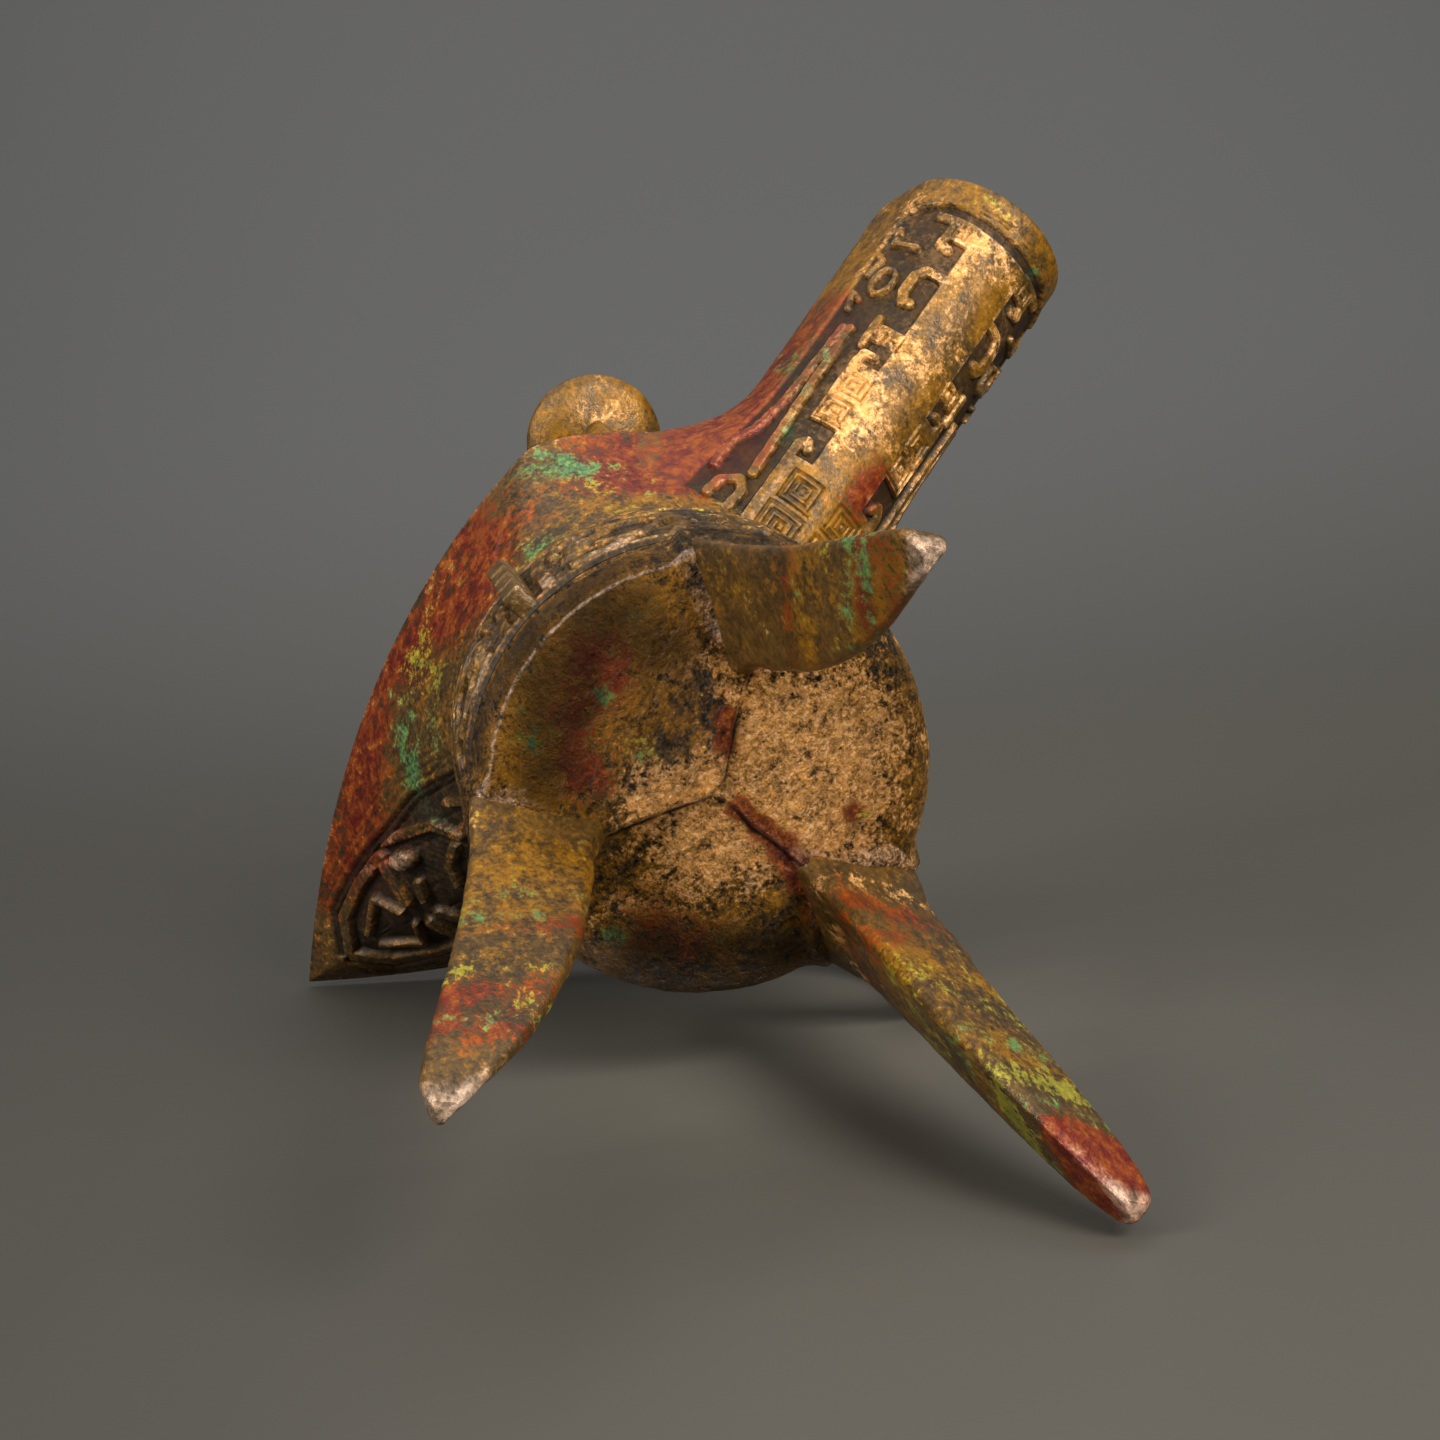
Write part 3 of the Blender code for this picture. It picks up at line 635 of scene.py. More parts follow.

# Where each kind of mark gathers on a piece: two numbers for the place, then radius in millimetres and
# strength. The kinds are patina, but `pale` is worn metal and, along the spout's keel, a painted highlight,
# and `shade` is painted shade with some dark patina. The place is degrees round the axis and millimetres out
# from it on the body, leg number and height on the legs, x and y on the spout and posts, and x and height, on
# the side photographed, on the rest.
PATCHES = {
    "body": {
        "tan": ((-5, 12, 9, 0.9), (35, 12, 10, 0.9), (22, 22, 9, 0.7), (55, 18, 9, 0.8), (75, 11, 7, 0.9),
                (-90, 3, 4, 0.9), (-135, 10, 5, 0.9), (165, 9, 9, 0.8), (125, 9, 7, 0.6), (78, 26, 6, 0.8)),
        "ochre": ((30, 21, 10, 0.6), (48, 27, 8, 0.7), (-75, 26, 8, 0.8), (-66, 24, 8, 0.9),
                  (-90, 18, 8, 0.6), (-104, 24, 8, 0.6), (-122, 20, 7, 0.7), (150, 14, 10, 0.8),
                  (-144, 27, 8, 0.6), (80, 31, 8, 0.6)),
        "red": ((-84, 22, 6, 1.5), (-124, 18, 5, 1.2), (-32, 6, 2.2, 1.5), (-36, 10, 2.2, 1.4),
                (90, 4, 2.2, 1.6), (90, 8, 2.2, 1.6), (91, 12, 2.4, 1.5), (92, 17, 3, 1.5), (93, 23, 5, 1.4),
                (158, 22, 7, 0.8), (140, 21, 5, 0.6), (60, 20, 2, 1.2), (-90, 29, 6, 0.5),
                (-106, 22, 4, 0.9)),
        "green": ((-120, 25, 2.4, 1.3), (-94, 20, 2, 1.1), (-66, 26, 2, 0.9), (-57, 27, 3, 0.6),
                  (170, 25, 3, 0.9), (93, 22, 3, 0.7), (-24, 10, 2, 0.5), (-110, 12, 2, 0.7),
                  (-108, 28, 2.5, 0.6)),
        "lime": ((59, 21, 3, 0.8), (15, 24, 2, 0.7), (-98, 12, 5, 0.7), (-86, 21, 4, 0.5), (-118, 26, 4, 0.8),
                 (-72, 26, 4, 0.5), (-58, 28, 4, 0.4), (80, 24, 5, 0.5)),
        "pale": ((80, 15, 5, 0.6), (75, 26, 6, 0.9), (-45, 28, 3, 0.7), (-43, 22, 2.5, 0.9),
                 (-138, 29, 3, 0.9), (118, 15, 2, 1.0)),
        # painted shade, with some dark patina
        "shade": ((18, 25, 8, 0.5), (32, 28, 8, 0.6), (-55, 19, 8, 0.9), (-70, 28, 8, 0.9), (-90, 27, 9, 1.0),
                  (-106, 26, 8, 0.8), (-100, 22, 3, 1.2), (-128, 23, 8, 1.1), (140, 27, 10, 1.0),
                  (160, 27, 9, 0.9), (115, 26, 9, 0.9), (150, 15, 6, 0.4)),
    },
    "legs": {
        "ochre": ((0, 14, 9, 0.7), (0, 41, 8, 0.6), (1, 29, 8, 0.6), (1, 52, 10, 0.7), (2, 66, 10, 0.7),
                  (2, 52, 9, 0.6), (2, 33, 7, 0.4)),
        "tan": ((1, 79, 5, 0.9), (1, 66, 5, 0.4)),
        "red": ((0, 49, 5, 0.7), (0, 16, 4, 1.0), (0, 8, 4, 0.7), (1, 10, 6, 1.3), (1, 4, 6, 1.2),
                (1, 72, 6, 0.6), (1, 60, 4, 0.5), (2, 45, 5, 0.6), (2, 25, 5, 0.9), (2, 15, 6, 1.0)),
        "green": ((0, 22, 4, 0.6), (0, 15, 3, 0.8), (1, 32, 4, 0.5), (1, 16, 3, 0.6), (2, 56, 4, 0.6),
                  (2, 48, 3, 0.7), (2, 18, 3, 0.6)),
        "lime": ((0, 28, 5, 0.4), (1, 22, 5, 1.1), (1, 43, 5, 0.6), (1, 51, 5, 0.6), (2, 66, 4, 0.2),
                 (2, 32, 4, 0.7), (2, 22, 4, 0.5)),
        "pale": ((0, 1, 4, 0.8), (1, 1, 3, 0.7), (1, 7, 2, 0.3), (2, 2, 4, 0.8)),
        "shade": ((0, 55, 12, 0.5), (0, 72, 8, 0.4), (1, 17, 3, 0.5), (1, 36, 4, 0.4), (2, 82, 5, 0.6),
                  (2, 48, 4, 0.5)),
    },
    "mouth": {
        "ochre": ((-3, 152, 10, 0.4), (-15, 149, 10, 0.4), (-26, 155, 8, 0.4), (-56, 177, 5, 0.6),
                  (20, 144, 8, 0.8), (30, 150, 8, 0.8), (18, 157, 7, 0.4)),
        "tan": ((31, 150, 6, 0.5), (36, 150, 5, 0.4)),
        "red": ((-6, 144, 9, 0.8), (-13, 156, 9, 0.9), (-22, 163, 9, 0.8), (-35, 166, 9, 0.75),
                (-46, 168, 9, 0.8), (-58, 174, 9, 0.75), (-68, 181, 8, 0.7), (8, 150, 7, 0.7),
                (27, 158, 9, 1.4), (35, 161, 8, 1.3), (22, 152, 5, 0.8), (-1, 160, 8, 0.7)),
        "green": ((16, 157, 4, 1.0), (20, 158, 3, 0.7), (6, 140, 4, 0.8), (-30, 157, 5, 0.9),
                  (-25, 147, 4, 0.8), (-34, 153, 4, 0.8), (-27, 163, 3, 0.5), (32, 147, 3, 1.0)),
        "lime": ((18, 156, 4, 0.6), (-20, 156, 6, 0.8), (-21, 148, 5, 0.6), (-23, 160, 5, 0.5),
                 (17, 148, 6, 0.5), (20, 141, 5, 0.4)),
        "pale": ((-34, 153, 2, 0.6), (-46, 159, 4, 0.5), (-54, 168, 4, 0.6)),
        # painted shade, with some dark patina
        "shade": ((3, 157, 10, 0.7), (14, 158, 8, 0.5), (-51, 165, 10, 0.35), (-44, 155, 10, 0.4),
                  (-36, 145, 8, 0.4), (-15, 147, 8, 0.3)),
    },
    "spout": {
        "tan": ((82, -7, 6, 0.6), (89, -4, 6, 0.6), (67, -5, 6, 0.5), (57, -7, 6, 0.6), (50, -6, 6, 0.6),
                (66, 7, 5, 0.5), (79, 8, 4, 0.5), (52, 9, 4, 0.6)),
        "red": ((28, -22, 7, 1.0), (35, -18, 7, 1.2), (41, -16, 6, 1.0), (49, -15, 6, 0.9), (58, -14, 6, 0.8),
                (66, -14, 5, 0.6), (92, 7, 4, 0.8), (81, -3, 2.5, 0.6), (51, 3, 4, 0.5), (42, 4, 5, 0.9),
                (47, 5, 5, 0.8)),
        "green": ((53, -14, 3, 0.8), (91, 7, 2, 1.0), (44, -10, 3, 0.9), (58, -12, 3, 0.8),
                  (49, -12, 3, 0.5)),
        "lime": ((92, -9, 4, 0.5), (95, -4, 4, 0.6), (48, 10, 4, 0.9)),
        # painted highlight along the keel, partly worn metal
        "pale": ((54, -1, 4, 0.2), (61, -1, 4, 0.2), (68, -1, 4, 0.2), (75, -1, 4, 0.2), (82, -1, 5, 0.2),
                 (94, -1, 5, 0.4)),
        "shade": ((80, -15, 6, 0.7), (73, -14, 5, 0.4), (95, 6, 4, 0.6), (79, 8, 6, 0.4), (73, 11, 6, 0.4)),
    },
    "posts": {
        "ochre": ((21, -33, 5, 0.4), (33, -26, 5, 0.5)),
        "tan": ((27, -30, 5, 0.6),),
        "lime": ((24, -36, 3, 0.6),),
        "shade": ((29, -32, 5, 0.2),),
    },
    "band": {
        "red": ((0, 101, 7, 0.4),),
        "lime": ((25, 122, 4, 0.6),),
        "pale": ((4, 106, 4, 0.7), (15, 103, 5, 0.7), (-12, 104, 5, 0.6), (-22, 106, 5, 0.6)),
    },
}


def bronze(name, grain_size=0.0007, grain_depth=0.2, ochre=0.0, red=0.0, green=0.0, rough=0.36, fleck=1.0,
           ragged=1.0, along=1.0):
    """Aged bronze: golden, tan, red and green patina over brown, dirt in the hollows, worn edges, painted
    highlights and painted shade.
    """
    tones = bpy.context.scene.cup_colours
    look = bpy.data.materials.new(name)
    look.use_nodes = True
    tree = look.node_tree
    tree.nodes.clear()
    end = node(tree, "ShaderNodeOutputMaterial")
    place = node(tree, "ShaderNodeTexCoord").outputs["Object"]

    def noise(size, detail, roughness=0.6, shift=0.0, distortion=0.0):
        moved = node(tree, "ShaderNodeMapping", Vector=place, Location=(shift, shift * 0.7, -shift),
                     Scale=(1.0, 1.0, along)).outputs[0]
        return node(tree, "ShaderNodeTexNoise", Vector=moved, Scale=1 / size, Detail=detail,
                    Roughness=roughness, Distortion=distortion).outputs["Fac"]

    def number(key):
        return node(tree, "ShaderNodeAttribute", {"attribute_name": key}).outputs["Fac"]

    def between(value, low, high):
        return node(tree, "ShaderNodeMapRange", {"interpolation_type": "SMOOTHSTEP"}, Value=value, i1=low,
                    i2=high).outputs["Result"]

    def mix(factor, a, b):
        made = node(tree, "ShaderNodeMix", {"data_type": "RGBA"}, i0=factor)
        for k, value in ((6, a), (7, b)):
            if isinstance(value, bpy.types.NodeSocket):
                tree.links.new(value, made.inputs[k])
            else:
                made.inputs[k].default_value = (*value, 1.0)
        return made.outputs[2]

    def add(*values):
        total = values[0]
        for value in values[1:]:
            total = math_node(tree, "ADD", total, value)
        return total

    def times(a, b):
        return math_node(tree, "MULTIPLY", a, b)

    middle = noise(0.0085, 6, 0.66, 0.31, 0.4)
    small = noise(0.0026, 6, 0.74, 0.77, 0.3)
    speck = noise(0.0008, 4, 0.78, 1.3)
    fringe = times(add(times(small, 1.35), times(speck, 1.05), -1.2), ragged)

    def cover(key, size, seed, start, soft=0.14, gain=0.34):
        """Where a kind of patina, and likewise the painted shade, lies: clouds of noise, helped along where
        it gathers, with a speckled fringe.
        """
        cloud = noise(size, 7, 0.70, seed, 0.6)
        return between(add(cloud, fringe, times(number(key), gain)), start, start + soft)

    relief, fine = number("relief"), number("fine")
    skin = mix(between(add(middle, times(fringe, 0.4)), 0.28, 0.68), tones.umber, tones.brown)
    skin = mix(times(cover("ochre", 0.012, 2.3, 0.55 - ochre, 0.36), 0.9), skin, tones.ochre)
    skin = mix(times(cover("tan", 0.014, 6.1, 0.74 - ochre * 0.5, 0.22), 0.9), skin,
               mix(times(between(speck, 0.46, 0.66), 0.5), tones.tan, tones.worn))
    skin = mix(times(cover("red", 0.016, 2.1, 0.74 - red), 0.9), skin,
               mix(between(small, 0.40, 0.62), tones.wine, tones.red))
    skin = mix(times(cover("lime", 0.007, 5.1, 0.80 - green), 0.8), skin, tones.lime)
    skin = mix(times(cover("green", 0.008, 3.7, 0.78 - green), 0.85), skin,
               mix(between(speck, 0.44, 0.60), tones.verdigris, tones.green))
    # painted shade: the skin darkens to the dark colour where the `shade` patches lie, with dark flecks at
    # random too, and reflects less there
    gloom = cover("shade", 0.022, 7.7, 0.90, 0.34, 0.46)
    skin = mix(times(gloom, 0.80), skin, tones.dark)
    # worn metal on worn edges and raised parts, and painted highlights where `fine` and `pale` carry them
    worn = add(times(number("pale"), 0.36), times(fine, 0.36), times(fringe, 0.7))
    wear_and_highlight = between(worn, 0.16, 0.70)
    skin = mix(times(wear_and_highlight, 0.72), skin, tones.worn)
    # dirt in the hollows of the relief and in cracks, and the darker ring round the underside's edge
    dirt = between(add(times(relief, -1.0), times(middle, 0.4)), -0.55, 0.15)
    skin = mix(times(dirt, 0.84), skin, tones.dark)
    # light and dark flecks all over
    flecks = add(times(small, 1.7 * fleck), times(speck, 2.3 * fleck), 1 - 2.0 * fleck)
    value = math_node(tree, "MAXIMUM", flecks, 0.12)
    skin = node(tree, "ShaderNodeHueSaturation", Value=value, Saturation=1.12, Color=skin).outputs[0]
    pits = node(tree, "ShaderNodeTexVoronoi", Vector=place, Scale=1 / (grain_size * 2.0)).outputs["Distance"]
    rise = add(times(noise(grain_size, 4, 0.78, 4.4), 1.0), times(between(pits, 0.0, 0.4), 0.3),
               times(small, 0.8))
    bump = node(tree, "ShaderNodeBump", Strength=grain_depth, Distance=grain_size * 4.5,
                Height=rise).outputs[0]
    dull = add(times(small, 0.70), times(wear_and_highlight, -0.06), times(dirt, 0.2), rough - 0.35)
    shader = node(tree, "ShaderNodeBsdfPrincipled", Base_Color=skin, Metallic=0.35, Roughness=dull,
                  Normal=bump)
    tree.links.new(add(times(gloom, -0.3), times(dirt, -0.15), 0.5), shader.inputs["Specular IOR Level"])
    tree.links.new(shader.outputs[0], end.inputs[0])
    return look


# The pieces

def leg_outline(f, z, count):
    """Closed outline of a leg at a height: (out from the axis, across) with softened corners."""
    outer, depth, thick = leg_size(f, z)
    b, edge = thick / 2, 1.0
    half = [(0, b - edge), (-edge * 0.3, b - edge * 0.3), (-edge, b), (-0.3 * depth, 0.85 * b),
            (-0.72 * depth, 0.46 * b), (-depth, 0.17 * b)]
    shape = np.array(half + [(r, -t) for r, t in reversed(half)])
    closed = np.vstack([shape, shape[:1]])
    run = np.concatenate([[0], np.cumsum(np.hypot(*np.diff(closed, axis=0).T))])
    at = np.linspace(0, run[-1], count, endpoint=False)
    ring = np.stack([np.interp(at, run, closed[:, 0]), np.interp(at, run, closed[:, 1])], -1)
    for _ in range(3):
        ring = (np.roll(ring, 1, 0) + 2 * ring + np.roll(ring, -1, 0)) / 4
    return outer, ring


DOME_ROWS = 110
ROWS_APART = 0.001


def body_profile(f):
    """Half section of the turned body: out along the underside, up the side to the waist, and back inside."""
    r, z = dome_ring(f, np.linspace(0.0, np.pi / 2, DOME_ROWS), f.body_r, f.bottom_z, f.dome_h)
    dome = np.stack([r, z], -1)
    side = np.array([
        (f.body_r, f.bottom_z + f.dome_h + 0.8), (f.body_r - 0.35, f.band_z - 1.9),
        (f.body_r + 0.15, f.band_z - 1.3), (f.body_r + 0.15, f.band_z - 0.9),
        (f.body_r - 0.3, f.band_z - 0.4),
        (f.body_r - 0.6, f.band_z + 0.6), (f.body_r - 0.6, f.band_z + f.band_h - 0.6)])
    top = np.linspace(f.band_z + f.band_h - 0.3, f.waist_z + 0.4, 22)
    run = (top - top[0]) / (top[-1] - top[0])
    lines = ((0.30, 1.0), (0.66, 1.0), (1.0, 0.9))
    line = 0.55 * sum(high * np.exp(-((run - at) / 0.09) ** 2) for at, high in lines)
    waist = np.stack([f.body_r - 0.3 + (f.waist_r - f.body_r + 0.3) * smooth(run) + line, top], -1)
    half_z = f.band_z + f.band_h * 0.55
    inner = [(f.waist_r - 0.8, f.waist_z + 1.2), (f.waist_r - f.wall + 0.05, f.waist_z + 1.2)]
    inner += [(f.body_r - f.wall - 2.75 * t, half_z + (f.waist_z - half_z) * t)
              for t in (1.0, 0.75, 0.5, 0.25, 0.0)]
    down = np.linspace(np.pi / 2, 0.0, 30)
    r, z = dome_ring(f, down, f.body_r - f.wall, f.bottom_z + f.wall, f.dome_h - f.wall / 5)
    return np.vstack([dome, side, waist, np.array(inner), np.stack([r, z], -1)])


def underside_relief(f, p, r, turn):
    """Lift and cracks of the underside: a Y of low seams to the legs, the legs' roots and the cast skin."""
    lift, crack = np.zeros(len(p)), np.zeros(len(p))
    wander = 1.3 * grain(p * np.array([1, 1, 0]), 9.0, 5, 2)
    for at, gap in zip(f.leg_turn + np.radians([-120, 0, 120]), (1, 1, -1)):
        away = r * np.cos(turn - at)
        side = r * np.sin(turn - at) + wander * smooth(away / 6)
        along = smooth((away + 0.4) / 1.4) * smooth((26 - away) / 8)
        ridge = raised(np.abs(side) - 0.55, 1.0) * along
        lift += ridge * (0.5 + 0.35 * grain(p, 1.4, 8, 2))
        split = raised(np.abs(side - 0.95 * gap) - 0.26, 0.4) * along * smooth(0.8 + grain(p, 3.0, 9, 2))
        crack = np.maximum(crack, split)
        outer, depth, thick = leg_size(f, p[:, 2])
        narrow = smooth((away - outer + depth + 2) / (depth * 0.9))
        inside = np.maximum(np.abs(r * np.sin(turn - at)) - 0.5 * thick * narrow, 0)
        inside = np.hypot(inside, np.maximum(outer - depth - away, 0))
        lift += 2.0 * np.maximum(1 - inside / 3.4, 0) ** 2.2 * (away > 0)
    # the field between the two back legs lies a little deeper and is lumpier
    ahead = np.remainder(turn - f.leg_turn, 2 * np.pi)
    inner = np.minimum(ahead, np.radians(120) - ahead)
    deeper = smooth(r * np.sin(np.clip(inner, 0, np.pi / 2)) / 1.6) * smooth((27 - r) / 7) * (inner > 0)
    lift -= deeper * (0.55 - 0.5 * grain(p, 4.5, 14, 3)) + 0.35 * crack
    coarse = 3.4 * (0.5 - np.abs(grain(p, 2.2, 2, 3))) + 1.6 * grain(p, 1.1, 4, 2) + 2.4 * grain(p, 7.0, 3, 2)
    return lift + f.cast_rough * coarse * smooth((f.band_z - p[:, 2]) / 3), crack


class CUP_OT_body(bpy.types.Operator):
    """Turned body: domed underside with casting seams, upright wall, waist and the bowl inside"""
    bl_idname = "cup.body"
    bl_label = "Body"

    def execute(self, context):
        f = form()
        look = bronze("underside_bronze", grain_size=0.0009, grain_depth=1.0, ochre=0.18, fleck=2.1,
                      ragged=0.75, rough=0.32)
        profile = body_profile(f)
        made = chain("body", np.stack([profile[:, 0], np.zeros(len(profile)), profile[:, 1]], -1))
        set_values(made, "along", np.arange(len(profile)) * ROWS_APART)
        grow(made, turned_tree(), Columns=f.turned_columns, Finish=look)
        p = points_of(made)
        r, turn = np.hypot(p[:, 0], p[:, 1]), np.arctan2(p[:, 1], p[:, 0])
        under = values_of(made, "along") < (DOME_ROWS - 0.5) * ROWS_APART
        lift, crack = underside_relief(f, p, r, turn)
        n = np.stack([p[:, 0], p[:, 1], np.zeros(len(p))], -1) / np.maximum(r, 1e-6)[:, None]
        slope = smooth((r / f.body_r - 0.86) / 0.14)[:, None]
        n = n * slope + np.array([0, 0, -1.0]) * (1 - slope)
        set_points(made, p + n / np.linalg.norm(n, axis=1, keepdims=True) * (lift * under)[:, None])
        # painted highlights on the -y side: a bright line where the underside turns into the side and a
        # bright edge under the band; past the line the skin is darker
        seen = smooth(-p[:, 1] / 10)
        limb = np.exp(-((r - f.body_r + 1.9) / 0.22) ** 2) * under * seen
        edge = np.exp(-((p[:, 2] - f.band_z + 1.1) / 0.35) ** 2) * smooth((r - f.body_r + 0.7) / 0.4) * seen
        darker_ring = smooth((r - f.body_r + 1.5) / 0.4) * smooth((f.band_z - 1.6 - p[:, 2]) / 0.5) * under * seen
        # the painted highlights go into `fine`, and so into the worn-metal colour
        set_values(made, "fine", limb * 1.8 + edge * 1.1 + np.clip(lift - 0.5, 0, 0.4) * under)
        set_values(made, "relief", 1 - np.maximum(crack * under, 0.6 * darker_ring))
        finish(made, f, look)
        return {"FINISHED"}


class CUP_OT_band(bpy.types.Operator):
    """Decorated band: two animal masks facing away from each other, on a ground of squared spirals"""
    bl_idname = "cup.band"
    bl_label = "Band"

    def execute(self, context):
        f = form()
        look = bronze("band_bronze", ochre=0.12, fleck=1.2)
        columns, rows = 660, 84
        turns = np.linspace(0, 2 * np.pi, columns, endpoint=False)
        high = np.linspace(0.0, f.band_h, rows)
        out = np.full(rows, f.body_r + f.band_proud)
        edge = np.minimum(high, f.band_h - high)
        out -= 0.5 * np.maximum(1 - edge / 0.6, 0) ** 2
        out = np.concatenate([[f.body_r - 1.4], out, [f.body_r - 1.4]])
        high = np.concatenate([[0.3], high, [f.band_h - 0.3]])
        level_z = np.broadcast_to((f.band_z + high)[:, None], (len(out), columns))
        grid = np.stack([out[:, None] * np.cos(turns), out[:, None] * np.sin(turns), level_z], -1)
        # half a mask in (distance from the flange, height), mirrored at each flange
        away, up = np.broadcast_arrays(np.degrees(turns)[None, :], high[:, None])
        fold = (away + 270) % 180
        fold = np.minimum(fold, 180 - fold)
        u, v = np.radians(fold) * f.body_r, up - f.band_h * 0.5
        shapes = [
            stroke(u, v, [(4.2, -9.0), (4.2, -2.0), (3.6, 3.0), (4.6, 8.6)], 2.2),
            stroke(u, v, arc_path(11.2, 6.6, 4.6, 3.4, 200, -60), 1.9),
            stroke(u, v, arc_path(17.4, 1.4, 4.9, 5.4, 115, -150, 16), 1.7),
            stroke(u, v, [(9.0, -6.6), (13.5, -8.4), (17.0, -7.0), (15.4, -4.4)], 1.9),
            stroke(u, v, [(23.5, -8.8), (25.4, -3.0), (25.0, 4.0), (22.4, 8.6), (18.8, 9.2)], 2.0),
            stroke(u, v, [(30.0, -8.0), (32.2, -2.0), (31.0, 5.5), (34.5, 8.8), (39.0, 7.0), (38.5, 2.6),
                          (35.5, 2.0)], 2.0),
            stroke(u, v, [(29.5, -8.8), (36.0, -9.0), (41.5, -6.6), (43.5, -1.5), (45.5, 5.8)], 1.9),
            oval(u, v, 10.4, 1.3, 3.0, 2.7),
        ]
        top = raised(np.min(shapes, axis=0), 0.45)
        ring = raised(np.abs(oval(u, v, 10.4, 1.3, 3.9, 3.5)) - 0.25, 0.4)
        eye = np.maximum(1 - ((u - 10.4) / 2.4) ** 2 - ((v - 1.3) / 2.2) ** 2, 0) ** 0.5
        pitch = 4.0
        cu, cv = (np.round(u / pitch - 0.5) + 0.5) * pitch, np.round(v / pitch) * pitch
        spiral = scroll(u, v, cu, cv, pitch * 0.5, 1.0)
        borders = raised(np.abs(np.abs(v) - f.band_h * 0.5 + 1.1) - 0.3, 0.4)
        field = smooth((f.band_h * 0.5 - 1.8 - np.abs(v)) / 0.4)
        level = np.maximum(np.maximum(top, ring * 0.6), borders)
        lift = 0.35 * level - (1 - level) * (0.25 + 0.28 * spiral) * field + 0.7 * eye
        hook = stroke(u, v, [(30.8, -7.0), (33.0, -2.0), (31.8, 5.2), (34.8, 8.0), (38.0, 6.6)], 0.2)
        hooks = raised(np.abs(hook) - 0.15, 0.3)
        lift -= 0.25 * hooks * top
        relief = np.clip(level + 0.3 * (1 - spiral), 0, 1)
        outside = np.zeros_like(relief)
        outside[1:-1] = 1
        n = facing(normals(grid, True), (10, 0), grid[10, 0])
        flat = grid.reshape(-1, 3)
        lift = (lift + f.cast_rough * 0.5 * grain(flat, 1.2, 7).reshape(lift.shape)) * outside
        grid = grid + n * lift[..., None]
        faces = grid_faces(len(out), columns, True)
        made = thing("band", grid, faces, {"relief": relief, "fine": level * 0.45 + eye * 0.4})
        finish(outward(made), f, look)
        return {"FINISHED"}


def outward(obj):
    """Turns the faces outwards if the mesh is inside out."""
    p = points_of(obj)
    obj.data.calc_loop_triangles()
    tri = np.zeros(len(obj.data.loop_triangles) * 3, np.int64)
    obj.data.loop_triangles.foreach_get("vertices", tri)
    a, b, c = (p[tri.reshape(-1, 3)[:, k]] for k in range(3))
    if np.einsum("ij,ij->i", a, np.cross(b, c)).sum() < 0:
        obj.data.flip_normals()
    return obj


class CUP_OT_mouth(bpy.types.Operator):
    """Flaring mouth with its tail: leaf lines on the neck and a mask panel under the tail"""
    bl_idname = "cup.mouth"
    bl_label = "Mouth and tail"

    def execute(self, context):
        f = form()
        look = bronze("mouth_bronze", ochre=0.0, red=0.08, green=0.03, fleck=1.3)
        # columns spread by their distance along the rim, closer together towards the tail
        t = np.linspace(0, 2 * np.pi, 4001)
        track = mouth_surface(f, t, 0.75, 0.0)
        dense = 1.0 / np.where(track[:-1, 0] < -8, 0.42, 0.8)
        run = np.concatenate([[0], np.cumsum(np.linalg.norm(np.diff(track, axis=0), axis=1) * dense)])
        columns = int(run[-1])
        turns = np.interp(np.linspace(0, run[-1], columns, endpoint=False), run, t)
        rises = np.concatenate([[-0.03], np.linspace(0.0, 0.985, 168)])
        drops = [(0.1, 0.45), (0.35, 0.12), (0.8, 0.0), (1.3, 0.0), (1.8, 0.0), (2.25, 0.12), (2.5, 0.45)]
        tall = rim_height(f, mouth_surface(f, turns, 1.0, 0.0)[:, 0]) - f.waist_z
        grid = [mouth_surface(f, turns, r, 0.0) for r in rises]
        grid += [mouth_surface(f, turns, 1 - d / tall, i) for i, d in drops]
        down = np.concatenate([np.linspace(0.985, 0.0, 28), [-0.03]])
        grid += [mouth_surface(f, turns, r, f.wall) for r in down]
        grid = np.array(grid)
        n = facing(normals(grid, True), (80, 0), np.array([1.0, 0, 0]))
        rows = len(rises)
        rise = np.zeros(grid.shape[:2])
        rise[:rows] = rises[:, None]
        x, y = grid[..., 0], np.abs(grid[..., 1])
        outside = np.zeros(grid.shape[:2])
        outside[:rows] = smooth(rises / 0.02)[:, None] * smooth((0.985 - rises) / 0.02)[:, None]
        lift, relief, shine = tail_relief(x, y)
        turn = np.degrees(np.broadcast_to(turns, x.shape))
        neck, neck_ground = neck_leaves(turn, rise)
        lift = lift + neck
        relief = np.minimum(relief, neck_ground)
        flat = grid.reshape(-1, 3)
        skin = (1.5 * grain(flat, 2.4, 11, 3) + 2.0 * grain(flat, 9.0, 12, 2)).reshape(lift.shape)
        grid = grid + n * (outside * (lift + f.cast_rough * skin))[..., None]
        lip = np.zeros(grid.shape[:2])
        lip[rows - 3:rows + 8] = 0.5
        made = thing("mouth", grid, grid_faces(len(grid), columns, True),
                     {"relief": np.where(outside > 0, relief, 1), "fine": shine * outside + lip})
        outward(made)
        cut(made, outward(channel(f, f.wall * 0.97)))
        finish(made, f, look)
        return {"FINISHED"}


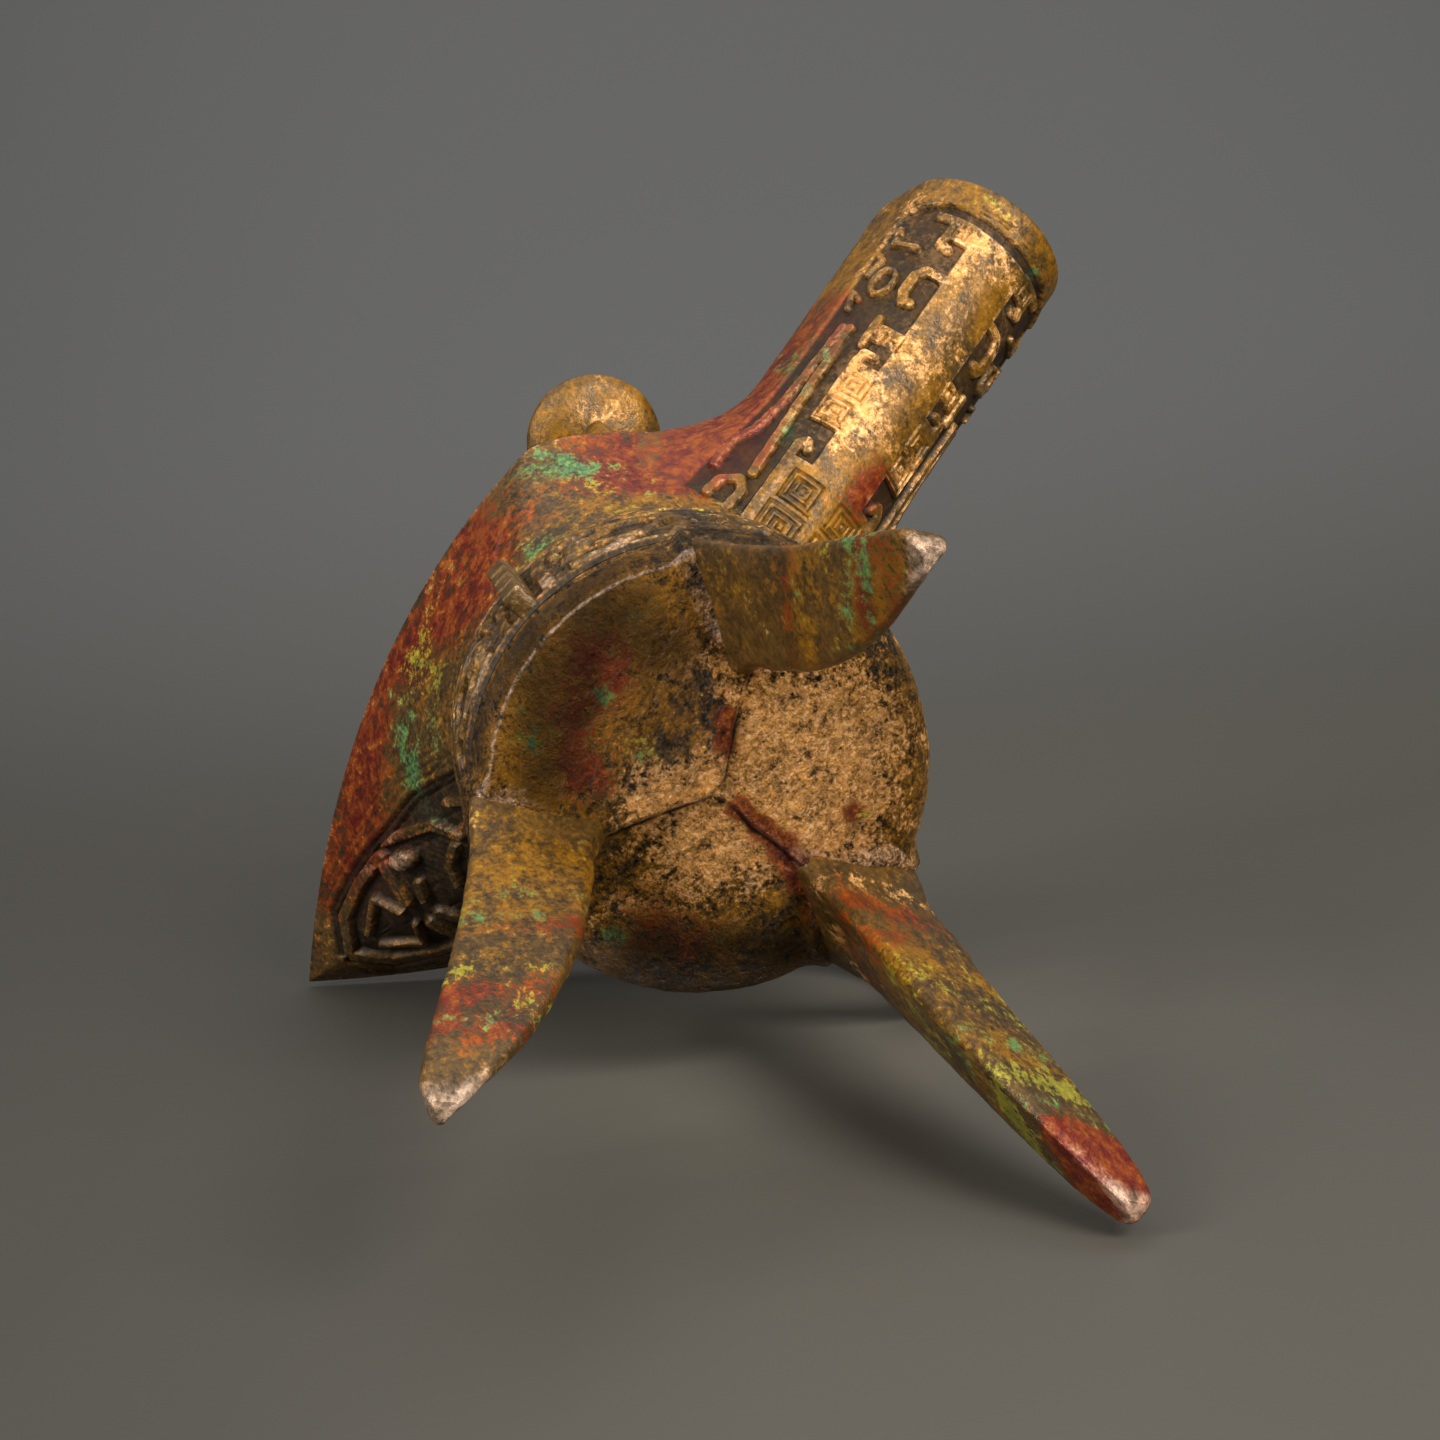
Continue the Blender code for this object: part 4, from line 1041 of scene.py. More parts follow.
def tail_relief(x, y):
    """The mask panel under the tail, in plan: a leaf outline, a raised band, an eye and hatched brows."""
    leaf = [(-67.5, 1.0), (-63, 7), (-56, 10), (-50, 12), (-45, 13), (-37, 15.5), (-28, 16)]
    edge_y = np.interp(x, [p[0] for p in leaf], [p[1] for p in leaf])
    inside = smooth((edge_y - y) / 0.8) * smooth((x + 68.5) / 1.5) * smooth((-27 - x) / 1.5)
    groove = raised(stroke(x, y, leaf, 1.3), 0.6) * smooth((-27 - x) / 2)
    beside = [stroke(x, y, [(a, b + k) for a, b in leaf], 0.1) for k in (1.6, 2.6, 3.7)]
    fine_lines = sum(raised(np.abs(one) - 0.12, 0.35) for one in beside)
    shapes = [
        stroke(x, y, [(-66, 0.4), (-62, 5.6), (-56, 8.6), (-49, 10.6), (-50.5, 6.5), (-51.5, 2.6)], 1.9),
        stroke(x, y, [(-61, 1.5), (-55.5, 5.6), (-53.8, 1.5)], 1.2),
        stroke(x, y, [(-49, 1.4), (-47.4, 4.4)], 1.6),
        oval(x, y, -46, 8.5, 2.1, 1.7),
        stroke(x, y, [(-47, 12.2), (-42, 11.6), (-38, 11.0), (-36.0, 8.0)], 1.7),
        stroke(x, y, [(-42.5, 1.2), (-41, 4.5), (-38, 6.8)], 1.5),
        oval(x, y, -33, 8.5, 1.6, 1.5),
        stroke(x, y, [(-33, 13), (-29, 12), (-28, 5.5)], 1.5),
    ]
    top = raised(np.min(shapes, axis=0), 0.5)
    eye = np.maximum(1 - ((x + 46) / 2.2) ** 2 - ((y - 8.5) / 1.8) ** 2, 0) ** 0.5
    boss = np.maximum(1 - ((x + 33) / 1.6) ** 2 - ((y - 8.5) / 1.5) ** 2, 0) ** 0.5
    hatch = 0.5 + 0.5 * np.sin(x * 5.2 + y * 2.6)
    hatched = smooth((8.5 - np.hypot((x + 39), (y - 4.5) * 1.2)) / 2)
    level = top
    lift = inside * (0.35 * level - 0.95 * (1 - level) + 1.0 * eye + 0.7 * boss - 0.2 * hatch * hatched)
    lift = lift - 0.7 * groove - 0.25 * fine_lines * smooth((-20 - x) / 6)
    relief = 1 - np.clip(inside * (1 - level) + groove, 0, 1)
    return lift, relief, inside * level * 0.35 + eye * 0.3


def neck_leaves(turn, rise):
    """Faint upright leaves round the neck, drawn with grooved lines."""
    count = 12
    step = 360.0 / count
    u = ((turn + step / 2) % step - step / 2) / (step / 2)
    v = rise / 0.78
    width = np.clip(1 - v, 0, 1) ** 0.75
    leaf = np.abs(np.abs(u) - 0.96 * width)
    inner = np.abs(np.abs(u) - 0.62 * width + 0.10)
    line = smooth((0.06 - leaf) / 0.05) + 0.8 * smooth((0.05 - inner) / 0.04) * (v < 0.72)
    curl = smooth((0.07 - np.abs(np.hypot(u, (v - 0.2) * 1.6) - 0.24)) / 0.05)
    line = np.clip(line + 0.8 * curl, 0, 1) * smooth((1 - v) / 0.06) * smooth(rise / 0.04)
    return -0.22 * line, 1 - 0.45 * line


def spout_ring(f, x, near):
    """A closed section of the spout: points, ground, worn parts with painted highlights, and how many points
    a half outside has.
    """
    half, deep, w, up = spout_width(f, x), spout_deep(f, x, 0.0), f.wall, spout_up(f)
    a = np.linspace(0, np.pi / 2, 240)
    curve_y, curve_h = half * np.sin(a), f.spout_round * (1 - np.cos(a))
    run = np.concatenate([[0], np.cumsum(np.hypot(np.diff(curve_y), np.diff(curve_h)))])
    q = np.concatenate([near, np.linspace(23.6, run[-1] + deep - 0.5 - f.spout_round, 24)])
    turn = np.interp(q, run, a)
    y = half * np.sin(turn)
    h = f.spout_round * (1 - np.cos(turn)) + np.maximum(q - run[-1], 0)
    ny, nh = f.spout_round * np.sin(turn), -half * np.cos(turn)
    size = np.hypot(ny, nh)
    lift, relief, shine = spout_relief(f, np.full(len(q), x), q)
    ease = 0.6 * (1 - math.sqrt(max(1 - max(1 - (f.spout_tip_x - x) / 0.6, 0) ** 2, 0)))
    y = y + spout_sweep(f, x, h / deep)
    y, h = y + ny / size * (lift - ease), h + nh / size * (lift - ease)
    top = float(spout_sweep(f, x, 1.0))
    lip = [(half - 0.15 - ease, -0.18), (half - 0.6, -0.06), (half - w / 2, -0.06), (half - w + 0.6, -0.06)]
    lip = [(across + top, deep + high) for across, high in lip + [(half - w + 0.15 + ease, -0.18)]]
    b = np.linspace(np.pi / 2, -np.pi / 2, 31)
    inner_y, inner_h = (half - w + ease) * np.sin(b), f.spout_round * (1 - np.cos(b)) + w - ease
    inner_y = np.concatenate([[half - w + ease] * 3, inner_y, [-(half - w + ease)] * 3])
    rises = np.linspace(deep - 0.5, f.spout_round + w + 1, 3)
    inner_h = np.concatenate([rises[::-1], inner_h, rises])
    inner_y = inner_y + np.sign(inner_y) * spout_sweep(f, x, (inner_h - w) / (deep - w))
    loop_y = np.concatenate([-y[:0:-1], y, [p[0] for p in lip], inner_y, [-p[0] for p in lip[::-1]]])
    loop_h = np.concatenate([h[:0:-1], h, [p[1] for p in lip], inner_h, [p[1] for p in lip[::-1]]])
    ring = keel(f, x) + loop_h[:, None] * up + loop_y[:, None] * np.array([0, 1.0, 0])
    rest = len(loop_y) - 2 * len(q) + 1
    relief = np.concatenate([relief[:0:-1], relief, np.ones(rest)])
    return ring, relief, np.concatenate([shine[:0:-1], shine, np.full(rest, 0.3)]), len(q)


def end_faces(base, outer, count):
    """A ladder of triangles between the outside and the inside of the wall, at an end of the spout."""
    left = list(range(0, outer))
    right = [count - 1 - k for k in range(count - outer)]
    i, j, faces = 0, 0, []
    while i < len(left) - 1 or j < len(right) - 1:
        if j == len(right) - 1 or (i < len(left) - 1 and (i + 1) / len(left) <= (j + 1) / len(right)):
            faces.append([base + left[i], base + left[i + 1], base + right[j]])
            i += 1
        else:
            faces.append([base + left[i], base + right[j + 1], base + right[j]])
            j += 1
    return faces


class CUP_OT_spout(bpy.types.Operator):
    """Trough spout with dragons and squared spirals in relief"""
    bl_idname = "cup.spout"
    bl_label = "Spout"

    def execute(self, context):
        f = form()
        look = bronze("spout_bronze", ochre=0.24, rough=0.40, fleck=0.7, ragged=0.6)
        left = np.array([4.45, *np.linspace(4.2, 1.2, 11), 0.95, 0.75, 0.6, 0.45, 0.3, 0.18, 0.08, 0.02, 0.0])
        stations = np.concatenate([np.linspace(f.body_r - 4, 92.9, 268), f.spout_tip_x - left])
        near = np.concatenate([np.linspace(0, 21, 80), np.linspace(21.6, 22.8, 2)])
        rings, reliefs, shines, halves = zip(*(spout_ring(f, x, near) for x in stations))
        rings = np.array(rings)
        count, outer = rings.shape[1], 2 * halves[0] - 1
        flat = rings.reshape(-1, 3)
        skin = (1.2 * grain(flat, 1.5, 21, 3)).reshape(rings.shape[:2]) * f.cast_rough
        skin[:, outer:] *= 0.4
        skin[-5:] = 0
        rings = rings + facing(normals(rings), (100, halves[0] - 1), -spout_up(f)) * skin[..., None]
        faces = grid_faces(len(rings), count).tolist()
        faces += [face[::-1] for face in end_faces(0, outer, count)]
        faces += end_faces((len(rings) - 1) * count, outer, count)
        made = thing("spout", rings, faces, {"relief": np.array(reliefs), "fine": np.array(shines)})
        outward(made)
        cut(made, outward(cavity(f, f.wall * 0.5)))
        finish(made, f, look)
        return {"FINISHED"}


def spout_relief(f, x, q):
    """Lift, ground, and worn parts with painted highlights, of the spout's outside at a station along the
    keel and an arc from it.
    """
    k = 1 / math.cos(f.spout_slope)
    u = x * k

    def box(x0, x1, q0, q1):
        return patch(u, q, x0 * k, x1 * k, q0, q1)

    def line(path, width):
        return stroke(u, q, [(a * k, b) for a, b in path], width)

    shapes = [
        box(20, 90.5, -1, 5.5), box(20, 43.5, -1, 8.4),
        line([(31, 9.2), (45.5, 9.2), (46.4, 8.2), (45.2, 7.4)], 1.7),
        box(50, 61.6, -1, 10.4), line([(61, 9.6), (63.2, 9.2), (63.2, 7.2)], 1.6), box(65.5, 68.8, -1, 9.4),
        line([(64.6, 10.4), (69.4, 10.4)], 1.7),
        line([(80, 4), (80, 8.6), (78.6, 9.8), (75.4, 9.9), (73.6, 9.0), (73.9, 7.9)], 1.9),
        box(86.5, 90.5, -1, 9.4), line([(89, 9.2), (85.2, 9.4), (84.8, 7.8)], 1.7),
        line([(30.5, 12.6), (34.5, 12.0), (36.4, 13.6), (35.2, 16.0), (32.2, 16.4)], 1.7),
        line([(38, 12.4), (45, 12.9), (55, 13.7), (66.5, 14.0)], 1.7),
        line([(37.5, 18.6), (43, 19.4), (45.4, 17.4), (52, 16.3), (66.5, 15.4)], 1.6),
        line(arc_path(76, 14.3, 2.4, 1.9, 0, 360, 20), 1.1),
        line([(70.4, 17.6), (73.4, 18.6), (72.2, 16.6)], 1.1),
        line([(77.2, 18.4), (80.0, 17.4), (81.2, 18.8)], 1.1),
        line([(83.2, 12.4), (83.4, 17.2), (86.4, 18.2)], 1.3),
        box(89.2, 90.6, 5, 13), line([(90.5, 19.0), (91.6, 16.6), (93.2, 9.0), (93.8, 0.0)], 0.8),
    ]
    level = raised(np.min(shapes, axis=0), 0.36)
    field = smooth((x - 28) / 3) * smooth((92.6 - x) / 0.5) * smooth((20.6 - q) / 0.8)
    places = ((32.6, 4.2, 3.6, 0), (39.2, 4.2, 3.3, 2), (52.8, 7.4, 2.6, 0), (57.8, 7.4, 2.5, 2),
              (66.9, 6.6, 1.6, 3), (88.2, 7.4, 1.5, 1))
    spirals = sum(scroll(u, q, cx * k, cq, half, 1.05, turn) for cx, cq, half, turn in places)
    lift = field * (f.line_proud * level - f.ground_depth * (1 - level)) - 0.32 * spirals * level * field
    lift = lift + 0.35 * raised(shapes[-1], 0.4) * (1 - field)
    relief = 1 - field * (1 - level) - 0.60 * spirals * level * field
    edge = np.exp(-(np.min(shapes, axis=0) + 0.25) ** 2 / 0.08) * field
    middle = np.exp(-(q / 4.2) ** 2) * smooth((x - 36) / 14)
    # worn metal, partly painted highlight: on the relief's edges, along the keel and on the raised parts
    shine = 0.6 * edge + 0.18 * middle * level + 0.25 * level * field
    return lift, np.clip(relief, 0, 1), np.clip(shine, 0, 1)


class CUP_OT_legs(bpy.types.Operator):
    """Three blade legs, copied round the axis"""
    bl_idname = "cup.legs"
    bl_label = "Legs"

    def execute(self, context):
        f = form()
        look = bronze("leg_bronze", grain_depth=0.22, ochre=0.03, red=0.04, green=0.06, fleck=0.9, ragged=0.8,
                      along=0.5)
        heights = np.concatenate([[0.0, 0.25, 0.6, 1.0], np.linspace(1.5, f.leg_top_z, 190)])
        rings = []
        for z in heights:
            outer, ring = leg_outline(f, z, 92)
            shrink = 1 - 0.16 * (1 - smooth(z / 1.2)) - 0.10 * (z == 0)
            middle = np.array([-0.45 * leg_size(f, z)[1], 0])
            ring = (ring - middle) * shrink + middle
            rings.append(np.stack([outer + ring[:, 0], ring[:, 1], np.full(len(ring), z)], -1))
        rings = np.array(rings)
        n = facing(normals(rings), (100, 0), np.array([1.0, 0, 0]))
        flat = rings.reshape(-1, 3)
        skin = 1.6 * grain(flat, 3.0, 31, 3) + 2.6 * grain(flat, 14.0, 33, 2)
        skin = skin.reshape(rings.shape[:2]) * f.cast_rough
        skin[:3] = 0
        rings = rings + n * skin[..., None]
        z = rings[..., 2]
        outer, depth, _ = leg_size(f, z)
        ridge = np.exp(-(rings[..., 1] / 1.3) ** 2) * (rings[..., 0] < outer - depth * 0.8)
        rub = ridge * (0.2 + 0.4 * smooth((40 - z) / 40)) + 0.55 * smooth((4.5 - z) / 4.5)
        made = closed_loft("legs", rings)
        set_values(made, "fine", np.concatenate([rub.ravel(), [1, 0]]))
        set_values(made, "relief", np.ones(rub.size + 2))
        grow(made, copies_tree(), Count=3, First_turn=f.leg_turn - math.radians(120), Turn=math.radians(120),
             Finish=look)
        outward(made)
        cut(made, outward(cavity(f, f.wall * 0.6)))
        finish(made, f, look)
        return {"FINISHED"}


def post_shaft(f):
    """Squared shaft of a post with a groove down each side, leaning out from the rim to its cap."""
    rim = mouth_surface(f, math.acos((f.post_x - f.mouth_x) / f.front_reach), 1.0, f.wall / 2)
    foot_y, low, under = rim[1] + f.wall / 2 - f.post_in, rim[2], f.cap_z - 1.4
    heights, widths = [low, low + 1.5, (low + under) / 2, under, under + 3], [0.78, 0.82, 0.95, 1.05, 1.07]
    a = np.linspace(0, 2 * np.pi, 72, endpoint=False)
    c, s = np.cos(a), np.sin(a)
    rings = []
    for k, z in enumerate(np.linspace(low, under + 2.6, 50)):
        w = np.interp(z, heights, widths) * f.post_w / 2
        centre = foot_y + (f.post_y - foot_y) * float(smooth((z - low) / (under - low)))
        size = w / (np.abs(c) ** 5 + np.abs(s) ** 5) ** 0.2
        ends = float(smooth((z - low - 3) / 1.5) * smooth((under - 2 - z) / 1.5))
        size = size - 0.35 * ends * smooth((0.5 - np.abs(np.minimum(np.abs(c), np.abs(s)) * size)) / 0.5)
        y = centre + size * s
        high = np.minimum(low + (y - rim[1]) * f.post_slope, low) - 0.4 if k == 0 else np.full(72, z)
        rings.append(np.stack([size * c, y - f.post_y, high], -1))
    made = closed_loft("posts", rings)
    set_values(made, "relief", np.ones(len(made.data.vertices)))
    return made


def post_cap(f):
    """Domed cap with a whorl and a line near its edge, rounded below."""
    profile = [(0.02, -0.99), (0.1, -0.98), (0.2, -0.955), (0.3, -0.91), (0.4, -0.85), (0.52, -0.76),
               (0.64, -0.66),
               (0.74, -0.55), (0.84, -0.38), (0.92, -0.22)]
    profile = [(part, up * f.cap_under) for part, up in profile]
    profile += [(0.975, 0.0), (0.992, 0.4), (0.995, 0.9), (0.99, 1.4)]
    for a in np.linspace(0, np.pi / 2, 40)[:-1]:
        profile.append((0.975 * math.cos(a) ** 0.9, f.cap_lip + 0.3 + (f.cap_h - f.cap_lip) * math.sin(a)))
    a = np.linspace(0, 2 * np.pi, 120, endpoint=False)
    rings, lines = [], []
    for part, high in profile:
        radius, on_top = f.cap_r * part, high > f.cap_lip + 1
        whorl = smooth((0.35 - np.abs(np.sin(2 * a + radius * 0.55))) / 0.3)
        whorl = whorl * float(smooth((part - 0.2) / 0.08) * smooth((0.82 - part) / 0.06))
        line = np.clip(whorl + math.exp(-((part - 0.88) / 0.02) ** 2), 0, 1) * on_top
        lines.append(line)
        rings.append(np.stack([radius * np.cos(a), radius * np.sin(a), f.cap_z + high - 0.3 * line], -1))
    made = closed_loft("cap", rings, (0, 0, f.cap_z - f.cap_under), (0, 0, f.cap_z + f.cap_h + 0.28))
    set_values(made, "relief", np.concatenate([1 - np.array(lines).ravel(), [1, 1]]))
    return made


class CUP_OT_posts(bpy.types.Operator):
    """Two posts on the rim, each under a domed cap with a whorl on its top"""
    bl_idname = "cup.posts"
    bl_label = "Posts and caps"

    def execute(self, context):
        f = form()
        look = bronze("post_bronze", ochre=0.16, fleck=0.6, ragged=0.45)
        shaft, cap = post_shaft(f), post_cap(f)
        for one in (shaft, cap):
            outward(one)
            p = points_of(one)
            set_points(one, p + normals_of(one) * (f.cast_rough * 1.6 * grain(p, 2.2, 41, 3))[:, None])
        join(shaft, cap)
        grow(shaft, copies_tree(), Count=2, Start=(f.post_x, -f.post_y, 0.0), Step=(0.0, 2 * f.post_y, 0.0),
             First_turn=0.0, Turn=math.pi, Finish=look)
        finish(shaft, f, look)
        return {"FINISHED"}


def join(first, second):
    """Adds the second object's mesh to the first's."""
    a, b = points_of(first), points_of(second)
    faces = [list(q.vertices) for q in first.data.polygons]
    faces += [[i + len(a) for i in q.vertices] for q in second.data.polygons]
    relief = np.concatenate([values_of(first, "relief"), values_of(second, "relief")])
    mesh = bpy.data.meshes.new(first.name)
    mesh.from_pydata(np.vstack([a, b]).tolist(), [], faces)
    first.data = mesh
    set_values(first, "relief", relief)
    bpy.data.objects.remove(second, do_unlink=True)
    return first


class CUP_OT_handle(bpy.types.Operator):
    """Strap handle swept along its bent path"""
    bl_idname = "cup.handle"
    bl_label = "Handle"

    def execute(self, context):
        f = form()
        look = bronze("handle_bronze", ochre=0.05)
        start = f.body_r - f.wall * 0.55
        out = f.handle_y - f.handle_t / 2 - start
        middle, tall = (f.handle_top_z + f.handle_low_z) / 2, (f.handle_top_z - f.handle_low_z) / 2
        a = np.linspace(-np.pi / 2, np.pi / 2, 90)

        def bend(v):
            return np.sign(v) * np.abs(v) ** 0.62

        points = np.stack([0 * a, start + out * bend(np.cos(a)), middle + tall * bend(np.sin(a))], -1)
        made = chain("handle", points)
        grow(made, strap_tree(), Width=f.handle_w, Thickness=f.handle_t, Rounding=f.handle_t * 0.28,
             Spacing=0.55, Finish=look)
        outward(made)
        p = points_of(made)
        n = normals_of(made)
        groove = raised(np.abs(np.abs(p[:, 0]) - f.handle_w * 0.3) - 0.35, 0.5)
        set_points(made, p + n * (f.cast_rough * 1.5 * (grain(p, 2.5, 51, 3) - 1) - 0.3 * groove)[:, None])
        set_values(made, "relief", 1 - 0.7 * groove)
        set_values(made, "fine", 0.3 * raised(np.abs(np.abs(p[:, 0]) - f.handle_w * 0.5) - 0.2, 0.6))
        finish(made, f, look)
        return {"FINISHED"}


class CUP_OT_flanges(bpy.types.Operator):
    """Notched flanges on the band, copied round the axis"""
    bl_idname = "cup.flanges"
    bl_label = "Flanges"

    def execute(self, context):
        f = form()
        look = bronze("flange_bronze", ochre=0.02, red=-0.4)
        low, high = f.band_z + 0.4, f.band_z + f.band_h - 0.4
        reach, half = (f.flange_out + 1.2) / 2, f.flange_t / 2
        centre = f.body_r + (f.flange_out - 1.2) / 2
        rings, a = [], np.linspace(0, 2 * np.pi, 64, endpoint=False)
        c, s = np.cos(a), np.sin(a)
        size = 1 / (np.abs(c) ** 9 + np.abs(s) ** 9) ** (1 / 9)
        edges = np.concatenate([low + np.array([0, 0.06, 0.18]), np.linspace(low + 0.35, high - 0.35, 80),
                                high - np.array([0.18, 0.06, 0])])
        for z in edges:
            near = min(z - low, high - z)
            ease = 0.3 * max(1 - near / 0.3, 0) ** 2
            notch = sum(math.exp(-((z - low - (high - low) * k / 4) / 0.5) ** 2) for k in (1, 2, 3))
            x = centre + (reach - ease) * size * c - 0.9 * notch * (c > 0.6)
            y = (half - ease) * size * s * (1 - 0.22 * notch)
            rings.append(np.stack([x, y, np.full(64, z)], -1))
        made = closed_loft("flanges", rings)
        outward(made)
        set_values(made, "relief", np.ones(len(made.data.vertices)))
        p = points_of(made)
        rub = raised(np.abs(np.abs(p[:, 1]) - half) - 0.1, 0.5) * (p[:, 0] > centre)
        set_values(made, "fine", np.clip(rub + (p[:, 2] < low + 0.3) * 0.5, 0, 1))
        grow(made, copies_tree(), Count=3, First_turn=math.pi, Turn=math.pi / 2, Finish=look)
        finish(made, f, look)
        return {"FINISHED"}


# Studio

# The camera's place in millimetres before the frame's shift, its turn in degrees and its lens in millimetres
CAMERA_PLACE = (26.58, -121.81, -342.34)
CAMERA_TURN = (167.811, 9.376, 46.523)
CAMERA_LENS = 81.823
SENSOR = 36.0

# Metres above the paper, to the right and towards the back from the cup's middle, then diameter and watts
LIGHTS = {
    "top": (0.90, 0.05, 0.05, 1.7, 7.5),
    "key": (0.52, 0.42, -0.62, 0.38, 11.0),
    "fill": (0.50, -0.75, -0.35, 0.5, 7.0),
}
SKY, SKY_STRENGTH = (0.75, 0.76, 0.78, 1), 0.27

# The paper in metres: half its width, where it starts to curve up, and the radius and steps of that curve
PAPER_HALF, PAPER_FLAT, PAPER_BEND, PAPER_STEPS = 0.9, 0.30, 0.9, 61
PAPER_GAP = 0.0004
HANDLE_TOUCH = (-5, 121)


class CUP_OT_studio(bpy.types.Operator):
    """Camera, paper floor curving up behind the cup, and soft lights"""
    bl_idname = "cup.studio"
    bl_label = "Studio"

    def execute(self, context):
        f = form()
        scene = context.scene
        shift = Vector(f.shift) * MM
        turn = Euler([math.radians(a) for a in CAMERA_TURN]).to_matrix()
        up, back = turn.col[1], turn.col[2]
        camera = bpy.data.objects.new("camera", bpy.data.cameras.new("camera"))
        scene.collection.objects.link(camera)
        camera.matrix_world = Matrix.Translation(Vector(CAMERA_PLACE) * MM + shift) @ turn.to_4x4()
        camera.data.lens, camera.data.sensor_width = CAMERA_LENS, SENSOR
        camera.data.clip_start, camera.data.clip_end = 0.01, 20.0
        scene.camera = camera
        # the floor passes through the tail's tip, the handle and the foot under the handle
        handle_x, handle_z = HANDLE_TOUCH
        touch = [(-f.tail_reach, 0, f.tail_z), (handle_x, f.handle_y, handle_z), (0, f.leg_foot_r, 0)]
        touch = [Vector(t) * MM + shift for t in touch]
        normal = (touch[1] - touch[0]).cross(touch[2] - touch[0]).normalized()
        if normal.dot(up) < 0:
            normal = -normal
        far = (-back + normal * back.dot(normal)).normalized()
        side = far.cross(normal).normalized()
        base = sum(touch, Vector()) / 3 - normal * PAPER_GAP
        floor_sheet(base, normal, far, side)
        for name, (high, right, deep, size, watts) in LIGHTS.items():
            area(name, base + normal * high + side * right + far * deep, base, size, watts)
        world = bpy.data.worlds.new("studio")
        world.use_nodes = True
        sky = world.node_tree.nodes["Background"].inputs
        sky[0].default_value, sky[1].default_value = SKY, SKY_STRENGTH
        scene.world = world
        scene.view_settings.view_transform = "Standard"
        return {"FINISHED"}


def area(name, at, towards, size, watts):
    light = bpy.data.lights.new(name, "AREA")
    light.shape, light.size, light.energy = "DISK", size, watts
    made = bpy.data.objects.new(name, light)
    made.location = at
    made.rotation_mode = "QUATERNION"
    made.rotation_quaternion = (towards - at).to_track_quat("-Z", "Y")
    bpy.context.scene.collection.objects.link(made)


def paper_look():
    """Paper: one grey where the cup lies and another far behind, with painted shade and painted light,
    see-through from below.
    """
    look = bpy.data.materials.new("paper")
    look.use_nodes = True
    tree = look.node_tree
    tree.nodes.clear()
    end = node(tree, "ShaderNodeOutputMaterial")
    place = node(tree, "ShaderNodeTexCoord").outputs["Object"]
    fibres = node(tree, "ShaderNodeTexNoise", Vector=place, Scale=900.0, Detail=3.0).outputs["Fac"]
    bump = node(tree, "ShaderNodeBump", Strength=0.08, Distance=0.0005, Height=fibres).outputs[0]
    paper = node(tree, "ShaderNodeBsdfPrincipled", Roughness=0.55, Normal=bump)
    tones = bpy.context.scene.cup_colours
    height = node(tree, "ShaderNodeAttribute", {"attribute_name": "away"}).outputs["Fac"]
    tone = node(tree, "ShaderNodeMix", {"data_type": "RGBA"}, i0=height)
    tone.inputs[6].default_value, tone.inputs[7].default_value = (*tones.floor, 1), (*tones.backdrop, 1)
    # painted shade and painted light of the paper, as an amount to darken it by
    falling = node(tree, "ShaderNodeAttribute", {"attribute_name": "painted_light_and_shade"}).outputs["Fac"]
    light = math_node(tree, "SUBTRACT", 1.0, falling)
    toned = node(tree, "ShaderNodeHueSaturation", Value=light, Color=tone.outputs[2]).outputs[0]
    tree.links.new(toned, paper.inputs["Base Color"])
    behind = node(tree, "ShaderNodeNewGeometry").outputs["Backfacing"]
    clear = node(tree, "ShaderNodeBsdfTransparent").outputs[0]
    mixed = node(tree, "ShaderNodeMixShader", i0=behind, i1=paper.outputs[0], i2=clear)
    tree.links.new(mixed.outputs[0], end.inputs[0])
    return look


